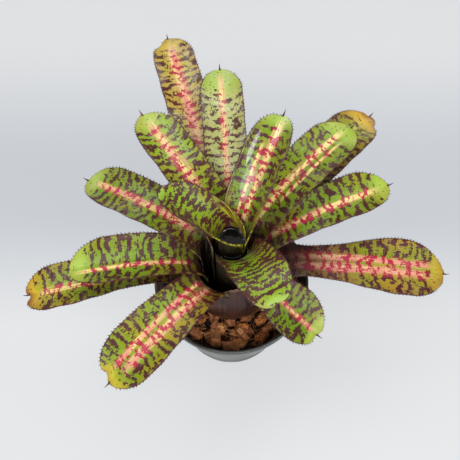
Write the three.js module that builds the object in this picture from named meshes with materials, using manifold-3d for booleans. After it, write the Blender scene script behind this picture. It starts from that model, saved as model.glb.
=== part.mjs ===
// A tank bromeliad in a plastic nursery pot, planted in chipped coconut husk.
// Millimetres, +Z up. The origin is the middle of the pot's flat underside.
// Azimuths are degrees anticlockwise from +X, seen from above.
import * as THREE from "three";
import { ConvexGeometry } from "three/addons/geometries/ConvexGeometry.js";
import { mergeVertices } from "three/addons/utils/BufferGeometryUtils.js";
import Module from "manifold-3d";

const wasm = await Module();
wasm.setup();

// ---------------------------------------------------------------- driving dimensions

const SEAT_GAP = 0.3; // between pieces that touch

const POT_RIM_RADIUS = 65;
const POT_BASE_RADIUS = 44.5;
const POT_HEIGHT = 104;
const POT_WALL = 1.4;
const POT_FLOOR = 2;
const LIP_HEIGHT = 6;
const LIP_OVERHANG = 2.2;
const DRAIN_SLOTS = 8;
const DRAIN_SLOT_WIDTH = 8;
const DRAIN_SLOT_HEIGHT = 5;
const DRAIN_SLOT_DEPTH = 6;

const FILL_BELOW_RIM = 21; // from the rim down to the flat top of the packed husk
const CHIPS_PER_RING = [13, 17]; // from the rosette out to the pot's wall
const CHIP_THICKNESS = 8;
const CHIP_SEED = 11;

const STEM_RADIUS = 6;
const STEM_DEPTH = 62; // from the pot's rim down to its lower end
const STEM_DOME = 0.7; // top of the growing tip, as a share of the youngest sheath's turn upright
const ROOT_COUNT = 6;
const ROOT_RADIUS = 1.6;
const ROOT_SPREAD = 30;
const ROOT_DROP = 26;

const SHEATH_CENTRE = POT_HEIGHT + 4; // height at which every sheath has turned upright
const CUP_RADIUS = 9.5; // inside the innermost sheath
const LAYER_PITCH = 1.7; // from one sheath to the next
const LEAF_THICKNESS = 0.9;
const WATER_LEVEL = POT_HEIGHT + 73;
const MAX_WRAP = 126; // degrees that half a sheath may reach round the cup

// The leaves from the youngest, in the middle, to the oldest. Heights are above the pot's rim.
// throat is where the blade starts to lean out of the cup, lift how far it still climbs from
// there, reach and rise place its tip, dip is the slope of the tip in degrees below level, base
// is the width of the sheath round its curve, width that of the blade, fold how many degrees
// each half of the blade is folded up, and sweep carries the tip sideways.
const LEAVES = [
  { azimuth: 163, throat: 74, lift: 22, reach: 52, rise: 116, dip: -20, base: 42, width: 34, fold: 55 },
  { azimuth: 63, throat: 66, lift: 20, reach: 81, rise: 127, dip: -15, base: 36, width: 37, fold: 62 },
  { azimuth: 297, throat: 56, lift: 28, reach: 66, rise: 92, dip: 42, base: 40, width: 40, fold: 30 },
  { azimuth: 127, throat: 61, lift: 34, reach: 112, rise: 105, dip: -5, base: 40, width: 37, fold: 42 },
  { azimuth: 94, throat: 56, lift: 26, reach: 134, rise: 106, dip: 0, base: 38, width: 36, fold: 45 },
  { azimuth: 44, throat: 50, lift: 30, reach: 130, rise: 88, dip: 10, base: 36, width: 40, fold: 35 },
  { azimuth: 21, throat: 46, lift: 18, reach: 129, rise: 74, dip: 5, base: 36, width: 38, fold: 35 },
  {
    azimuth: 109, throat: 46, lift: 34, reach: 184, rise: 96, dip: 5,
    base: 36, width: 38, fold: 40, sweep: -7,
  },
  { azimuth: 152, throat: 46, lift: 20, reach: 131, rise: 57, dip: 15, base: 36, width: 40, fold: 38 },
  {
    azimuth: 185, throat: 38, lift: 20, reach: 124, rise: 52, dip: 10,
    base: 34, width: 42, fold: 42, sweep: 4,
  },
  { azimuth: 46, throat: 38, lift: 26, reach: 168, rise: 64, dip: 10, base: 36, width: 42, fold: 30 },
  {
    azimuth: 230, throat: 34, lift: 20, reach: 131, rise: 44, dip: 25,
    base: 36, width: 46, fold: 34, sweep: -3,
  },
  { azimuth: 358, throat: 32, lift: 12, reach: 171, rise: 23, dip: 15, base: 34, width: 52, fold: 25 },
  {
    azimuth: 187, throat: 26, lift: 10, reach: 165, rise: 24, dip: 15,
    base: 32, width: 40, fold: 30, sweep: 5,
  },
  { azimuth: 322, throat: 26, lift: 12, reach: 88, rise: 10, dip: 25, base: 36, width: 46, fold: 25 },
];

// Dead leaf bases that still clasp the outside of the rosette, in the same terms.
const DRY_SHEATHS = [
  { azimuth: 276, throat: 12, lift: 12, reach: 37, rise: 35, dip: -86, base: 46, width: 14, fold: 12 },
  { azimuth: 184, throat: 5, lift: 5, reach: 50, rise: 7, dip: 12, base: 34, width: 17, fold: 14 },
];

// ---------------------------------------------------------------- finishes

const finish = (color, roughness) => new THREE.MeshStandardMaterial({ color, roughness });
const POT_PLASTIC = finish(0x2c2d2e, 0.5);
const HUSK = finish(0x9a5a33, 0.9);
const PACKED_HUSK = finish(0x3c2417, 0.95);
const STEM_BARK = finish(0x5d5238, 0.85);
const LEAF_GREEN = finish(0x75902f, 0.35);
const DRY_LEAF = finish(0x3d2422, 0.7);
const WATER = finish(0x14190f, 0.05);

// ---------------------------------------------------------------- shared shapes

const radians = THREE.MathUtils.degToRad;
const { lerp, smoothstep } = THREE.MathUtils;
const UP = new THREE.Vector3(0, 0, 1);

/** A closed geometry as a manifold solid, for joins and cuts. */
function solidOf(geometry) {
  const bare = geometry.clone();
  bare.deleteAttribute("normal");
  bare.deleteAttribute("uv");
  const merged = mergeVertices(bare, 1e-4);
  return new wasm.Manifold(
    new wasm.Mesh({
      numProp: 3,
      vertProperties: merged.attributes.position.array,
      triVerts: new Uint32Array(merged.index.array),
    }),
  );
}

/** A manifold solid back as a geometry. */
function geometryOf(solid) {
  const mesh = solid.getMesh();
  const geometry = new THREE.BufferGeometry();
  geometry.setAttribute("position", new THREE.BufferAttribute(new Float32Array(mesh.vertProperties), 3));
  geometry.setIndex(new THREE.BufferAttribute(new Uint32Array(mesh.triVerts), 1));
  return geometry;
}

/** A solid of revolution about Z. The [radius, height] points run up the outside. */
function turned(points, segments) {
  const profile = points.map(([radius, height]) => new THREE.Vector2(radius, height));
  return new THREE.LatheGeometry(profile, segments).rotateX(Math.PI / 2);
}

/** Numbers from 0 to 1 that are the same on every run. */
function* spread(seed) {
  let state = seed;
  for (;;) {
    state = (state * 1103515245 + 12345) % 2147483648;
    yield state / 2147483648;
  }
}

// ---------------------------------------------------------------- pot

const POT_SEGMENTS = 40;
const bodyTopRadius = POT_RIM_RADIUS - LIP_OVERHANG;
const lipBottom = POT_HEIGHT - LIP_HEIGHT;
const flare = (bodyTopRadius - POT_BASE_RADIUS) / lipBottom;

/** Inside radius of the tapered wall at a height. */
const potInside = (height) => POT_BASE_RADIUS - POT_WALL + flare * height;

function potGeometry() {
  const shell = solidOf(
    turned(
      [
        [0, 0],
        [POT_BASE_RADIUS, 0],
        [bodyTopRadius, lipBottom],
        [POT_RIM_RADIUS, lipBottom],
        [POT_RIM_RADIUS, POT_HEIGHT],
        [potInside(POT_HEIGHT), POT_HEIGHT],
        [potInside(POT_FLOOR), POT_FLOOR],
        [0, POT_FLOOR],
      ],
      POT_SEGMENTS,
    ),
  );
  let pot = shell;
  const inner = POT_BASE_RADIUS - DRAIN_SLOT_DEPTH;
  for (let slot = 0; slot < DRAIN_SLOTS; slot++) {
    const cut = new THREE.BoxGeometry(2 * DRAIN_SLOT_DEPTH, DRAIN_SLOT_WIDTH, 2 * DRAIN_SLOT_HEIGHT)
      .translate(inner + DRAIN_SLOT_DEPTH, 0, 0)
      .rotateZ(radians(270) + (slot * 2 * Math.PI) / DRAIN_SLOTS);
    pot = pot.subtract(solidOf(cut));
  }
  return geometryOf(pot);
}

// ---------------------------------------------------------------- leaves

const SHEATH_STATIONS = 4;
const BLADE_STATIONS = 7;
const TIP_STATIONS = 4;
const ACROSS = 6;
const TIP_HALF_WIDTH = 0.8;
const TIP_LENGTH = 1.25; // of the rounded end, as a share of half the blade's width
const TIP_BLUNTNESS = 2.2;
const ARRIVAL = 0.4; // of the curve's handle at the tip, as a share of the distance from the throat
const OPENING = 0.45; // share of the blade over which the wrapped sheath opens to its fold
const WIDENING = 0.55; // share of the blade over which it reaches its full width

/** A sheath's flats come nearer the axis than its corners by this factor. */
const FLAT = Math.cos(radians(MAX_WRAP) / ACROSS);
const leafFoot = (STEM_RADIUS + SEAT_GAP) / FLAT;

/** Inner radius of a sheath: layer 0 stands round the cup, each older one outside it. */
const sheathRadius = (layer) => CUP_RADIUS + LAYER_PITCH * layer;

/** A row of points on an arc across the leaf, bulging away from inward. */
function arcAcross(centre, inward, side, radius, half) {
  return Array.from({ length: ACROSS + 1 }, (_, i) => {
    const angle = half * ((2 * i) / ACROSS - 1);
    return centre
      .clone()
      .addScaledVector(inward, -radius * Math.cos(angle))
      .addScaledVector(side, radius * Math.sin(angle));
  });
}

/** The blade's midrib, from the throat to the tip. */
function midrib(leaf, wall) {
  const throat = new THREE.Vector3(wall, 0, POT_HEIGHT + leaf.throat);
  const lifted = throat.clone().addScaledVector(UP, leaf.lift);
  const tip = new THREE.Vector3(leaf.reach, 0, POT_HEIGHT + leaf.rise);
  const dip = radians(leaf.dip);
  const handle = ARRIVAL * throat.distanceTo(tip);
  const arriving = new THREE.Vector3(-Math.cos(dip), 0, Math.sin(dip)).multiplyScalar(handle).add(tip);
  return new THREE.CubicBezierCurve3(throat, lifted, arriving, tip);
}

/** Where the blade's cross-sections stand, as shares of its length. */
function bladeShares(tipStart) {
  const shares = [];
  for (let j = 0; j <= BLADE_STATIONS; j++) shares.push((tipStart * j) / BLADE_STATIONS);
  for (let j = 1; j <= TIP_STATIONS; j++) {
    shares.push(lerp(tipStart, 1, Math.sin((j / TIP_STATIONS) * (Math.PI / 2))));
  }
  return shares;
}

/**
 * The rows of points of one face of a leaf, from the stem round the bottom of the sheath, up
 * its wall and out to the tip. depth is how far the face lies behind the upper one.
 */
function leafFace(leaf, layer, depth) {
  const wall = sheathRadius(layer);
  const turn = wall - leafFoot + depth;
  const wrap = Math.min(leaf.base / 2 / wall, radians(MAX_WRAP));
  const level = new THREE.Vector3(-1, 0, 0);
  const side = new THREE.Vector3(0, 1, 0);
  const rows = [];
  for (let j = 0; j <= SHEATH_STATIONS; j++) {
    const angle = (j / SHEATH_STATIONS) * (Math.PI / 2);
    const centre = new THREE.Vector3(0, 0, SHEATH_CENTRE - turn * Math.cos(angle));
    rows.push(arcAcross(centre, level, side, leafFoot + turn * Math.sin(angle), wrap));
  }

  const rib = midrib(leaf, wall);
  const halfWidth = leaf.width / 2;
  const tipStart = 1 - Math.min(0.5, (TIP_LENGTH * halfWidth) / rib.getLength());
  const openCurvature = radians(leaf.fold) / halfWidth;
  for (const share of bladeShares(tipStart)) {
    const along = rib.getTangentAt(share);
    const inward = new THREE.Vector3(-along.z, 0, along.x);
    const past = Math.max(0, (share - tipStart) / (1 - tipStart));
    const rounding = Math.sqrt(1 - Math.min(1, past ** TIP_BLUNTNESS));
    const grown = lerp(wrap * wall, halfWidth, smoothstep(share, 0, WIDENING));
    const half = Math.max(TIP_HALF_WIDTH, grown * rounding);
    const radius = 1 / lerp(1 / wall, openCurvature, smoothstep(share, 0, OPENING));
    const centre = rib.getPointAt(share).addScaledVector(inward, radius);
    centre.y += (leaf.sweep ?? 0) * share * share;
    rows.push(arcAcross(centre, inward, side, radius + depth, half / radius));
  }
  return rows;
}

/** A leaf as one closed solid, its midrib over the X axis. */
function leafGeometry(leaf, layer) {
  const faces = [leafFace(leaf, layer, 0), leafFace(leaf, layer, LEAF_THICKNESS)];
  const rows = faces[0].length;
  const columns = ACROSS + 1;
  const at = (face, row, column) => (face * rows + row) * columns + column;
  const index = [];
  const quad = (a, b, c, d) => index.push(a, c, b, a, d, c);
  for (let j = 0; j < rows - 1; j++) {
    for (let i = 0; i < ACROSS; i++) {
      quad(at(0, j, i), at(0, j, i + 1), at(0, j + 1, i + 1), at(0, j + 1, i));
      quad(at(1, j, i), at(1, j + 1, i), at(1, j + 1, i + 1), at(1, j, i + 1));
    }
    quad(at(0, j, 0), at(0, j + 1, 0), at(1, j + 1, 0), at(1, j, 0));
    quad(at(0, j + 1, ACROSS), at(0, j, ACROSS), at(1, j, ACROSS), at(1, j + 1, ACROSS));
  }
  const last = rows - 1;
  for (let i = 0; i < ACROSS; i++) {
    quad(at(0, 0, i + 1), at(0, 0, i), at(1, 0, i), at(1, 0, i + 1));
    quad(at(0, last, i), at(0, last, i + 1), at(1, last, i + 1), at(1, last, i));
  }
  const position = faces.flat(2).flatMap((point) => point.toArray());
  const geometry = new THREE.BufferGeometry();
  geometry.setAttribute("position", new THREE.Float32BufferAttribute(position, 3));
  geometry.setIndex(index);
  return geometry;
}

// ---------------------------------------------------------------- stem, roots and water

const STEM_SEGMENTS = 14;
const stemFoot = POT_HEIGHT - STEM_DEPTH;
const youngestTurn = CUP_RADIUS - leafFoot;
const youngestFoot = SHEATH_CENTRE - youngestTurn;
const domeHeight = STEM_DOME * youngestTurn;
const stemTop = youngestFoot + domeHeight;

/** The roots as one solid, thicker all round by swell. */
function rootSolid(swell) {
  const outline = new THREE.Shape().absarc(0, 0, ROOT_RADIUS + swell, 0, 2 * Math.PI);
  const roots = [];
  for (let root = 0; root < ROOT_COUNT; root++) {
    const path = new THREE.CatmullRomCurve3([
      new THREE.Vector3(0, 0, stemFoot + 14),
      new THREE.Vector3(0.4 * ROOT_SPREAD, 0, stemFoot + 8),
      new THREE.Vector3(ROOT_SPREAD + swell, 0, stemFoot + 14 - ROOT_DROP - swell),
    ]);
    const tube = new THREE.ExtrudeGeometry(outline, { steps: 3, curveSegments: 3, extrudePath: path });
    tube.rotateZ(((root + 0.5) * 2 * Math.PI) / ROOT_COUNT);
    roots.push(solidOf(tube));
  }
  return roots.reduce((joined, root) => joined.add(root));
}

function stemGeometry() {
  const stem = solidOf(
    turned(
      [
        [0, stemFoot],
        [0.7 * STEM_RADIUS, stemFoot],
        [STEM_RADIUS, stemFoot + STEM_RADIUS],
        [STEM_RADIUS, youngestFoot],
        [0.6 * STEM_RADIUS, stemTop - 0.3 * domeHeight],
        [0, stemTop],
      ],
      STEM_SEGMENTS,
    ),
  );
  return geometryOf(stem.add(rootSolid(0)));
}

/** The water in the central cup stays clear of the flats of the innermost sheath's upright wall. */
function waterGeometry() {
  const radius = CUP_RADIUS * FLAT - SEAT_GAP;
  const depth = WATER_LEVEL - SHEATH_CENTRE;
  return new THREE.CylinderGeometry(radius, radius, depth, STEM_SEGMENTS)
    .rotateX(Math.PI / 2)
    .translate(0, 0, SHEATH_CENTRE + depth / 2);
}

// ---------------------------------------------------------------- growing medium

const MEDIUM_SEGMENTS = 32;
const fillTop = POT_HEIGHT - FILL_BELOW_RIM;
const oldestLayer = LEAVES.length + DRY_SHEATHS.length - 1;
const nestTurn = sheathRadius(oldestLayer) - leafFoot + LEAF_THICKNESS + SEAT_GAP;

/** Inside radius of the nest that the rosette's underside presses into the husk. */
function nestRadius(height) {
  const below = SHEATH_CENTRE - height;
  return leafFoot + Math.sqrt(Math.max(0, nestTurn * nestTurn - below * below));
}

/** The packed husk: it fills the pot, and holds the stem, the roots and the sheaths' nest. */
function mediumGeometry() {
  const hole = STEM_RADIUS + SEAT_GAP;
  const bottom = POT_FLOOR + SEAT_GAP;
  const nestBottom = SHEATH_CENTRE - nestTurn;
  const nest = [1, 0.75, 0.5, 0.25, 0.08].map((share) => {
    const height = lerp(nestBottom, fillTop, share);
    return [nestRadius(height), height];
  });
  const body = solidOf(
    turned(
      [
        [0, bottom],
        [potInside(bottom) - SEAT_GAP, bottom],
        [potInside(fillTop) - SEAT_GAP, fillTop],
        ...nest,
        [hole, nestBottom],
        [hole, stemFoot - SEAT_GAP],
        [0, stemFoot - SEAT_GAP],
      ],
      MEDIUM_SEGMENTS,
    ),
  );
  return geometryOf(body.subtract(rootSolid(SEAT_GAP)));
}

// ---------------------------------------------------------------- husk chips

const CHIP_CORNERS = 6;
const CHIP_SPACING = 1.15; // of the chips, as a share of their length or width

/** An irregular chunk with a flat underside, inside an oval of length by width. */
function chipGeometry(length, width, random) {
  const points = [];
  for (const [height, size] of [[0, 0.86], [0.55, 1], [1, 0.72]]) {
    for (let corner = 0; corner < CHIP_CORNERS; corner++) {
      const angle = (corner + 0.5 * random.next().value) * ((2 * Math.PI) / CHIP_CORNERS);
      const reach = size * lerp(0.8, 1, random.next().value);
      const lift = height === 1 ? lerp(0.7, 1, random.next().value) : height;
      const x = 0.5 * length * reach * Math.cos(angle);
      const y = 0.5 * width * reach * Math.sin(angle);
      points.push(new THREE.Vector3(x, y, CHIP_THICKNESS * lift));
    }
  }
  return new ConvexGeometry(points);
}

/** The rings share the room between the rosette's nest and the pot's wall. */
function chipRings() {
  const nearest = nestRadius(fillTop + CHIP_THICKNESS) + SEAT_GAP;
  const farthest = potInside(fillTop) - SEAT_GAP;
  const band = (farthest - nearest) / CHIPS_PER_RING.length;
  return CHIPS_PER_RING.map((count, ring) => {
    const radius = nearest + (ring + 0.5) * band;
    const length = (2 * Math.PI * radius) / (count * CHIP_SPACING);
    return { radius, count, length, width: band / CHIP_SPACING };
  });
}

// ---------------------------------------------------------------- assembly

const plant = new THREE.Group();

function add(name, geometry, material) {
  const mesh = new THREE.Mesh(geometry, material);
  mesh.name = name;
  plant.add(mesh);
  return mesh;
}

const numbered = (stem, number) => `${stem}_${String(number).padStart(2, "0")}`;

add("pot", potGeometry(), POT_PLASTIC);
add("growing_medium", mediumGeometry(), PACKED_HUSK);
add("stem_and_roots", stemGeometry(), STEM_BARK);
add("tank_water", waterGeometry(), WATER);

LEAVES.forEach((leaf, layer) => {
  const mesh = add(numbered("leaf", layer + 1), leafGeometry(leaf, layer), LEAF_GREEN);
  mesh.rotation.z = radians(leaf.azimuth);
});

DRY_SHEATHS.forEach((sheath, number) => {
  const layer = LEAVES.length + number;
  const mesh = add(numbered("dry_sheath", number + 1), leafGeometry(sheath, layer), DRY_LEAF);
  mesh.rotation.z = radians(sheath.azimuth);
});

const random = spread(CHIP_SEED);
let chips = 0;
for (const { radius, count, length, width } of chipRings()) {
  for (let place = 0; place < count; place++) {
    const mesh = add(numbered("husk_chip", ++chips), chipGeometry(length, width, random), HUSK);
    const azimuth = ((place + 0.2 * random.next().value) * 2 * Math.PI) / count;
    mesh.position.set(radius, 0, fillTop + SEAT_GAP).applyAxisAngle(UP, azimuth);
    mesh.rotation.z = azimuth + Math.PI / 2 + lerp(-0.2, 0.2, random.next().value);
  }
}

export default plant;
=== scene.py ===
"""The looks of a potted bromeliad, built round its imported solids.

Metres, +Z up, with the pot's foot at z = 0.
"""

import logging
import math
import random
from dataclasses import dataclass, field
from enum import Enum
from typing import Callable, Union

import bmesh
import bpy
from mathutils import Matrix, Vector, noise


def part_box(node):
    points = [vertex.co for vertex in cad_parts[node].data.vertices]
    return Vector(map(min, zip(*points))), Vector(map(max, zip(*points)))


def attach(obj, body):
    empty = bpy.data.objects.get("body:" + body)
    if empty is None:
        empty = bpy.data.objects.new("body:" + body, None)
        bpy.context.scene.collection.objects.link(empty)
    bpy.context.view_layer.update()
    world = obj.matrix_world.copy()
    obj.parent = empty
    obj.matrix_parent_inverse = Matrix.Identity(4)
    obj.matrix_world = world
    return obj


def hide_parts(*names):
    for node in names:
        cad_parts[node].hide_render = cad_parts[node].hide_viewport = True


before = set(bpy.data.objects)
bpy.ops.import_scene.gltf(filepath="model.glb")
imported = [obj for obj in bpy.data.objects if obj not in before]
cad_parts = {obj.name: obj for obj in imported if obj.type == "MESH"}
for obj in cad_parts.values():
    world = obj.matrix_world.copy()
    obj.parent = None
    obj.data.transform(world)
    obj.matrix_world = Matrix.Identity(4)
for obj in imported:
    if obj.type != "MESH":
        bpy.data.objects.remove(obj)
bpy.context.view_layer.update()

LOG = logging.getLogger("bromeliad")
MM = 0.001
ROOT = "root"
UP = Vector((0.0, 0.0, 1.0))
PLACE_LAYER = "leaf_place"
EDGE_LAYER = "leaf_edge"
FIBRE_LAYER = "fibre_place"


# ------------------------------------------------------------------ numbers


def lerp(start: float, end: float, share: float) -> float:
    """The number a share of the way from start to end."""
    return start + (end - start) * share


def smooth(value: float, low: float, high: float) -> float:
    """An even S-shaped rise from 0 at low to 1 at high."""
    share = min(1.0, max(0.0, (value - low) / (high - low)))
    return share * share * (3.0 - 2.0 * share)


def polar(radius: float, bearing: float, height: float) -> Vector:
    """A point by its distance from the axis, its bearing in radians and its height."""
    return Vector((radius * math.cos(bearing), radius * math.sin(bearing), height))


def sized(size: Vector) -> Matrix:
    """The scaling that makes a unit cube a block of a size in millimetres."""
    return Matrix.Diagonal((*(size * MM), 1.0))


def paint(code: str) -> tuple[float, float, float, float]:
    """A six-figure colour code as a linear colour.

    Args:
        code: Two figures each of red, green and blue.

    Returns:
        Red, green, blue and an alpha of 1.
    """
    parts = [int(code[i : i + 2], 16) / 255 for i in (0, 2, 4)]
    linear = [p / 12.92 if p <= 0.04045 else ((p + 0.055) / 1.055) ** 2.4 for p in parts]
    return (*linear, 1.0)


# ------------------------------------------------------------------ shader nodes


@dataclass(frozen=True)
class Flow:
    """A number that varies over a surface. Arithmetic on it lays out the nodes."""

    graph: "Graph"
    socket: bpy.types.NodeSocket

    def __add__(self, other: "Number") -> "Flow":
        """The sum."""
        return self.graph.math("ADD", self, other)

    def __sub__(self, other: "Number") -> "Flow":
        """The difference."""
        return self.graph.math("SUBTRACT", self, other)

    def __rsub__(self, other: "Number") -> "Flow":
        """The difference from a plain number."""
        return self.graph.math("SUBTRACT", other, self)

    def __mul__(self, other: "Number") -> "Flow":
        """The product."""
        return self.graph.math("MULTIPLY", self, other)

    def __truediv__(self, other: "Number") -> "Flow":
        """The quotient."""
        return self.graph.math("DIVIDE", self, other)


Number = Union[Flow, float]


class Graph:
    """The node tree of a material or of a shared effect."""

    def __init__(self, tree: bpy.types.NodeTree) -> None:
        """Starts on an empty tree."""
        self.tree = tree

    def feed(self, node: bpy.types.Node, inputs: dict) -> None:
        """Gives a node's inputs their values.

        Args:
            node: The node.
            inputs: A value, flow or socket for each named or numbered input.
        """
        for key, value in inputs.items():
            value = value.socket if isinstance(value, Flow) else value
            if isinstance(value, bpy.types.NodeSocket):
                self.tree.links.new(value, node.inputs[key])
            else:
                node.inputs[key].default_value = value

    def node(self, kind: str, inputs: dict, **settings: object) -> bpy.types.Node:
        """Adds a node.

        Args:
            kind: The node's type.
            inputs: A value, flow or socket for each named or numbered input.
            **settings: The node's own properties.

        Returns:
            The node.
        """
        made = self.tree.nodes.new(kind)
        for name, value in settings.items():
            setattr(made, name, value)
        self.feed(made, inputs)
        return made

    def outputs(self, node: bpy.types.Node) -> list:
        """A node's outputs, numbers as flows and the rest as sockets."""
        return [Flow(self, out) if out.type == "VALUE" else out for out in node.outputs]

    def math(self, operation: str, first: Number, second: Number = 0.0) -> Flow:
        """One step of arithmetic."""
        return self.outputs(self.node("ShaderNodeMath", {0: first, 1: second}, operation=operation))[0]

    def rise(self, value: Number, low: Number, high: Number) -> Flow:
        """An even rise of value from 0 at low to 1 at high."""
        inputs = {"Value": value, "From Min": low, "From Max": high}
        made = self.node("ShaderNodeMapRange", inputs, interpolation_type="SMOOTHSTEP")
        return Flow(self, made.outputs["Result"])

    def fall(self, value: Number, low: Number, high: Number) -> Flow:
        """An even fall of value from 1 at low to 0 at high."""
        return 1.0 - self.rise(value, low, high)

    def join(self, x: Number, y: Number, z: Number = 0.0) -> bpy.types.NodeSocket:
        """Three numbers as a vector."""
        return self.node("ShaderNodeCombineXYZ", {0: x, 1: y, 2: z}).outputs[0]

    def split(self, vector: bpy.types.NodeSocket) -> list[Flow]:
        """A vector's three numbers."""
        return self.outputs(self.node("ShaderNodeSeparateXYZ", {0: vector}))

    def noise(self, vector: bpy.types.NodeSocket, scale: float = 1.0, detail: float = 1.0) -> Flow:
        """Soft noise from 0 to 1."""
        inputs = {"Vector": vector, "Scale": scale, "Detail": detail}
        return Flow(self, self.node("ShaderNodeTexNoise", inputs).outputs[0])

    def spots(self, vector: bpy.types.NodeSocket, scale: float = 1.0) -> tuple[Flow, Flow]:
        """The distance to the nearest of many scattered points, and a random number for that point."""
        made = self.node("ShaderNodeTexVoronoi", {"Vector": vector, "Scale": scale})
        return Flow(self, made.outputs["Distance"]), self.split(made.outputs["Color"])[0]

    def mix(self, share: Number, first: object, second: object) -> bpy.types.NodeSocket:
        """A colour between two, each of them a socket or a colour code."""
        ends = [paint(end) if isinstance(end, str) else end for end in (first, second)]
        return self.node("ShaderNodeMix", {0: share, 6: ends[0], 7: ends[1]}, data_type="RGBA").outputs[2]

    def lay(self, body: object, *coats: tuple[Number, object]) -> bpy.types.NodeSocket:
        """Lays coats of colour over a colour.

        Args:
            body: The colour underneath.
            *coats: How much each coat covers, and its colour.

        Returns:
            The colour with its coats.
        """
        for share, colour in coats:
            body = self.mix(share, body, colour)
        return body

    def carried(self, name: str) -> bpy.types.NodeSocket:
        """A vector that the piece's mesh carries."""
        return self.node("ShaderNodeAttribute", {}, attribute_name=name).outputs["Vector"]

    def carried_number(self, name: str) -> Flow:
        """A number that the piece's mesh carries."""
        return Flow(self, self.node("ShaderNodeAttribute", {}, attribute_name=name).outputs["Fac"])

    def place(self) -> bpy.types.NodeSocket:
        """The point on the piece, in the part's own frame."""
        return self.node("ShaderNodeTexCoord", {}).outputs["Object"]

    def stretched(self, vector: bpy.types.NodeSocket, scale: tuple[float, ...]) -> bpy.types.NodeSocket:
        """A vector scaled along each axis."""
        return self.node("ShaderNodeMapping", {"Vector": vector, "Scale": scale}).outputs[0]


class LeafPlace:
    """A place on a leaf: metres across and along it, and the share of its blade."""

    def __init__(self, graph: Graph, vector: bpy.types.NodeSocket) -> None:
        """Reads the place that a vector holds."""
        self.graph = graph
        self.across, self.along, self.share = graph.split(vector)

    def noise(self, across: float, along: float, seed: Number, detail: float = 1.0) -> Flow:
        """Noise drawn out over the leaf.

        Args:
            across: Its scale across the leaf, per metre.
            along: Its scale along the leaf, per metre.
            seed: What sets it apart from other noise.
            detail: How fine it is.

        Returns:
            The noise, from 0 to 1.
        """
        spot = self.graph.join(self.across * across, self.along * along, seed)
        return self.graph.noise(spot, detail=detail)


class Effect:
    """A shared node group: it is built once and placed in each material with its own values."""

    def __init__(self, name: str, inputs: dict, outputs: tuple[str, ...], build: Callable) -> None:
        """Builds the group.

        Args:
            name: The effect's name.
            inputs: The socket type of each named input.
            outputs: The names of the outputs, all of them numbers.
            build: Takes the graph and the inputs in order, and returns the outputs.
        """
        self.tree = bpy.data.node_groups.new(name, "ShaderNodeTree")
        for label, kind in inputs.items():
            self.tree.interface.new_socket(label, in_out="INPUT", socket_type=kind)
        for label in outputs:
            self.tree.interface.new_socket(label, in_out="OUTPUT", socket_type=FLOAT)
        graph = Graph(self.tree)
        entry = graph.node("NodeGroupInput", {})
        results = build(graph, *graph.outputs(entry)[: len(inputs)])
        graph.node("NodeGroupOutput", dict(zip(outputs, results)))

    def on(self, graph: Graph, **values: object) -> list:
        """Places the effect in a graph, and gives its outputs. The values are its inputs, by name."""
        return graph.outputs(graph.node("ShaderNodeGroup", values, node_tree=self.tree))


FLOAT = "NodeSocketFloat"
VECTOR = "NodeSocketVector"


def band_pattern(
    graph: Graph, place: bpy.types.NodeSocket, seed: Flow, pitch: Flow, coverage: Flow
) -> list[Flow]:
    """Broken bands across a leaf: jagged at each vein, and pinched into blotches.

    Args:
        graph: The effect's graph.
        place: The place on the leaf.
        seed: The leaf's own number.
        pitch: The distance from band to band, in metres.
        coverage: How much of the leaf the bands cover.

    Returns:
        The bands, and the flecks between them.
    """
    spot = LeafPlace(graph, place)
    vein = spot.noise(950.0, 45.0, seed, detail=0.0)
    sway = spot.noise(90.0, 60.0, seed + 7.0)
    phase = spot.along / pitch + (vein - 0.5) * 0.8 + (sway - 0.5) * 2.2
    wave = graph.math("SINE", phase * (2 * math.pi)) * 0.5 + 0.5
    blotch = spot.noise(150.0, 240.0, seed + 13.0, detail=2.0)
    crumbs = spot.noise(520.0, 1100.0, seed + 29.0)
    level = wave * 0.5 + (blotch - 0.5) * 2.4 + (crumbs - 0.5) * 0.7
    cut = 0.71 - coverage
    flecks = graph.rise(crumbs + (blotch - 0.5) * 0.4, 0.52, 0.66)
    return [graph.rise(level, cut - 0.06, cut + 0.06), flecks]


def stripe_pattern(
    graph: Graph,
    place: bpy.types.NodeSocket,
    seed: Flow,
    offset: Flow,
    half: Flow,
    start: Flow,
    end: Flow,
) -> list[Flow]:
    """A pale stripe along a leaf with streaky edges.

    Args:
        graph: The effect's graph.
        place: The place on the leaf.
        seed: The stripe's own number.
        offset: Its distance from the midrib, in metres.
        half: Half its width, in metres.
        start: The share of the blade where it opens.
        end: The share of the blade where it has closed.

    Returns:
        The stripe, and the wider halo where the bands turn crimson.
    """
    spot = LeafPlace(graph, place)
    streak = spot.noise(1500.0, 22.0, seed)
    apart = graph.math("ABSOLUTE", spot.across - offset)
    away = apart + (streak - 0.5) * half * 2.8
    ends = graph.rise(spot.share, start, start + 0.1) * graph.fall(spot.share, end - 0.12, end)
    stripe = graph.fall(away, half * 0.4, half * 1.45)
    halo = graph.fall(apart, half * 0.9, half * 2.3)
    return [stripe * ends, halo * ends]


def vein_pattern(graph: Graph, place: bpy.types.NodeSocket, seed: Flow) -> list[Flow]:
    """The fine lengthwise lines of a leaf.

    Args:
        graph: The effect's graph.
        place: The place on the leaf.
        seed: The leaf's own number.

    Returns:
        The lines as a tint and as a height.
    """
    spot = LeafPlace(graph, place)
    fine = spot.noise(2300.0, 9.0, seed)
    broad = spot.noise(420.0, 14.0, seed + 3.0)
    return [fine * 0.45 + broad * 0.55, fine * 0.6 + broad * 0.4]


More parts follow.
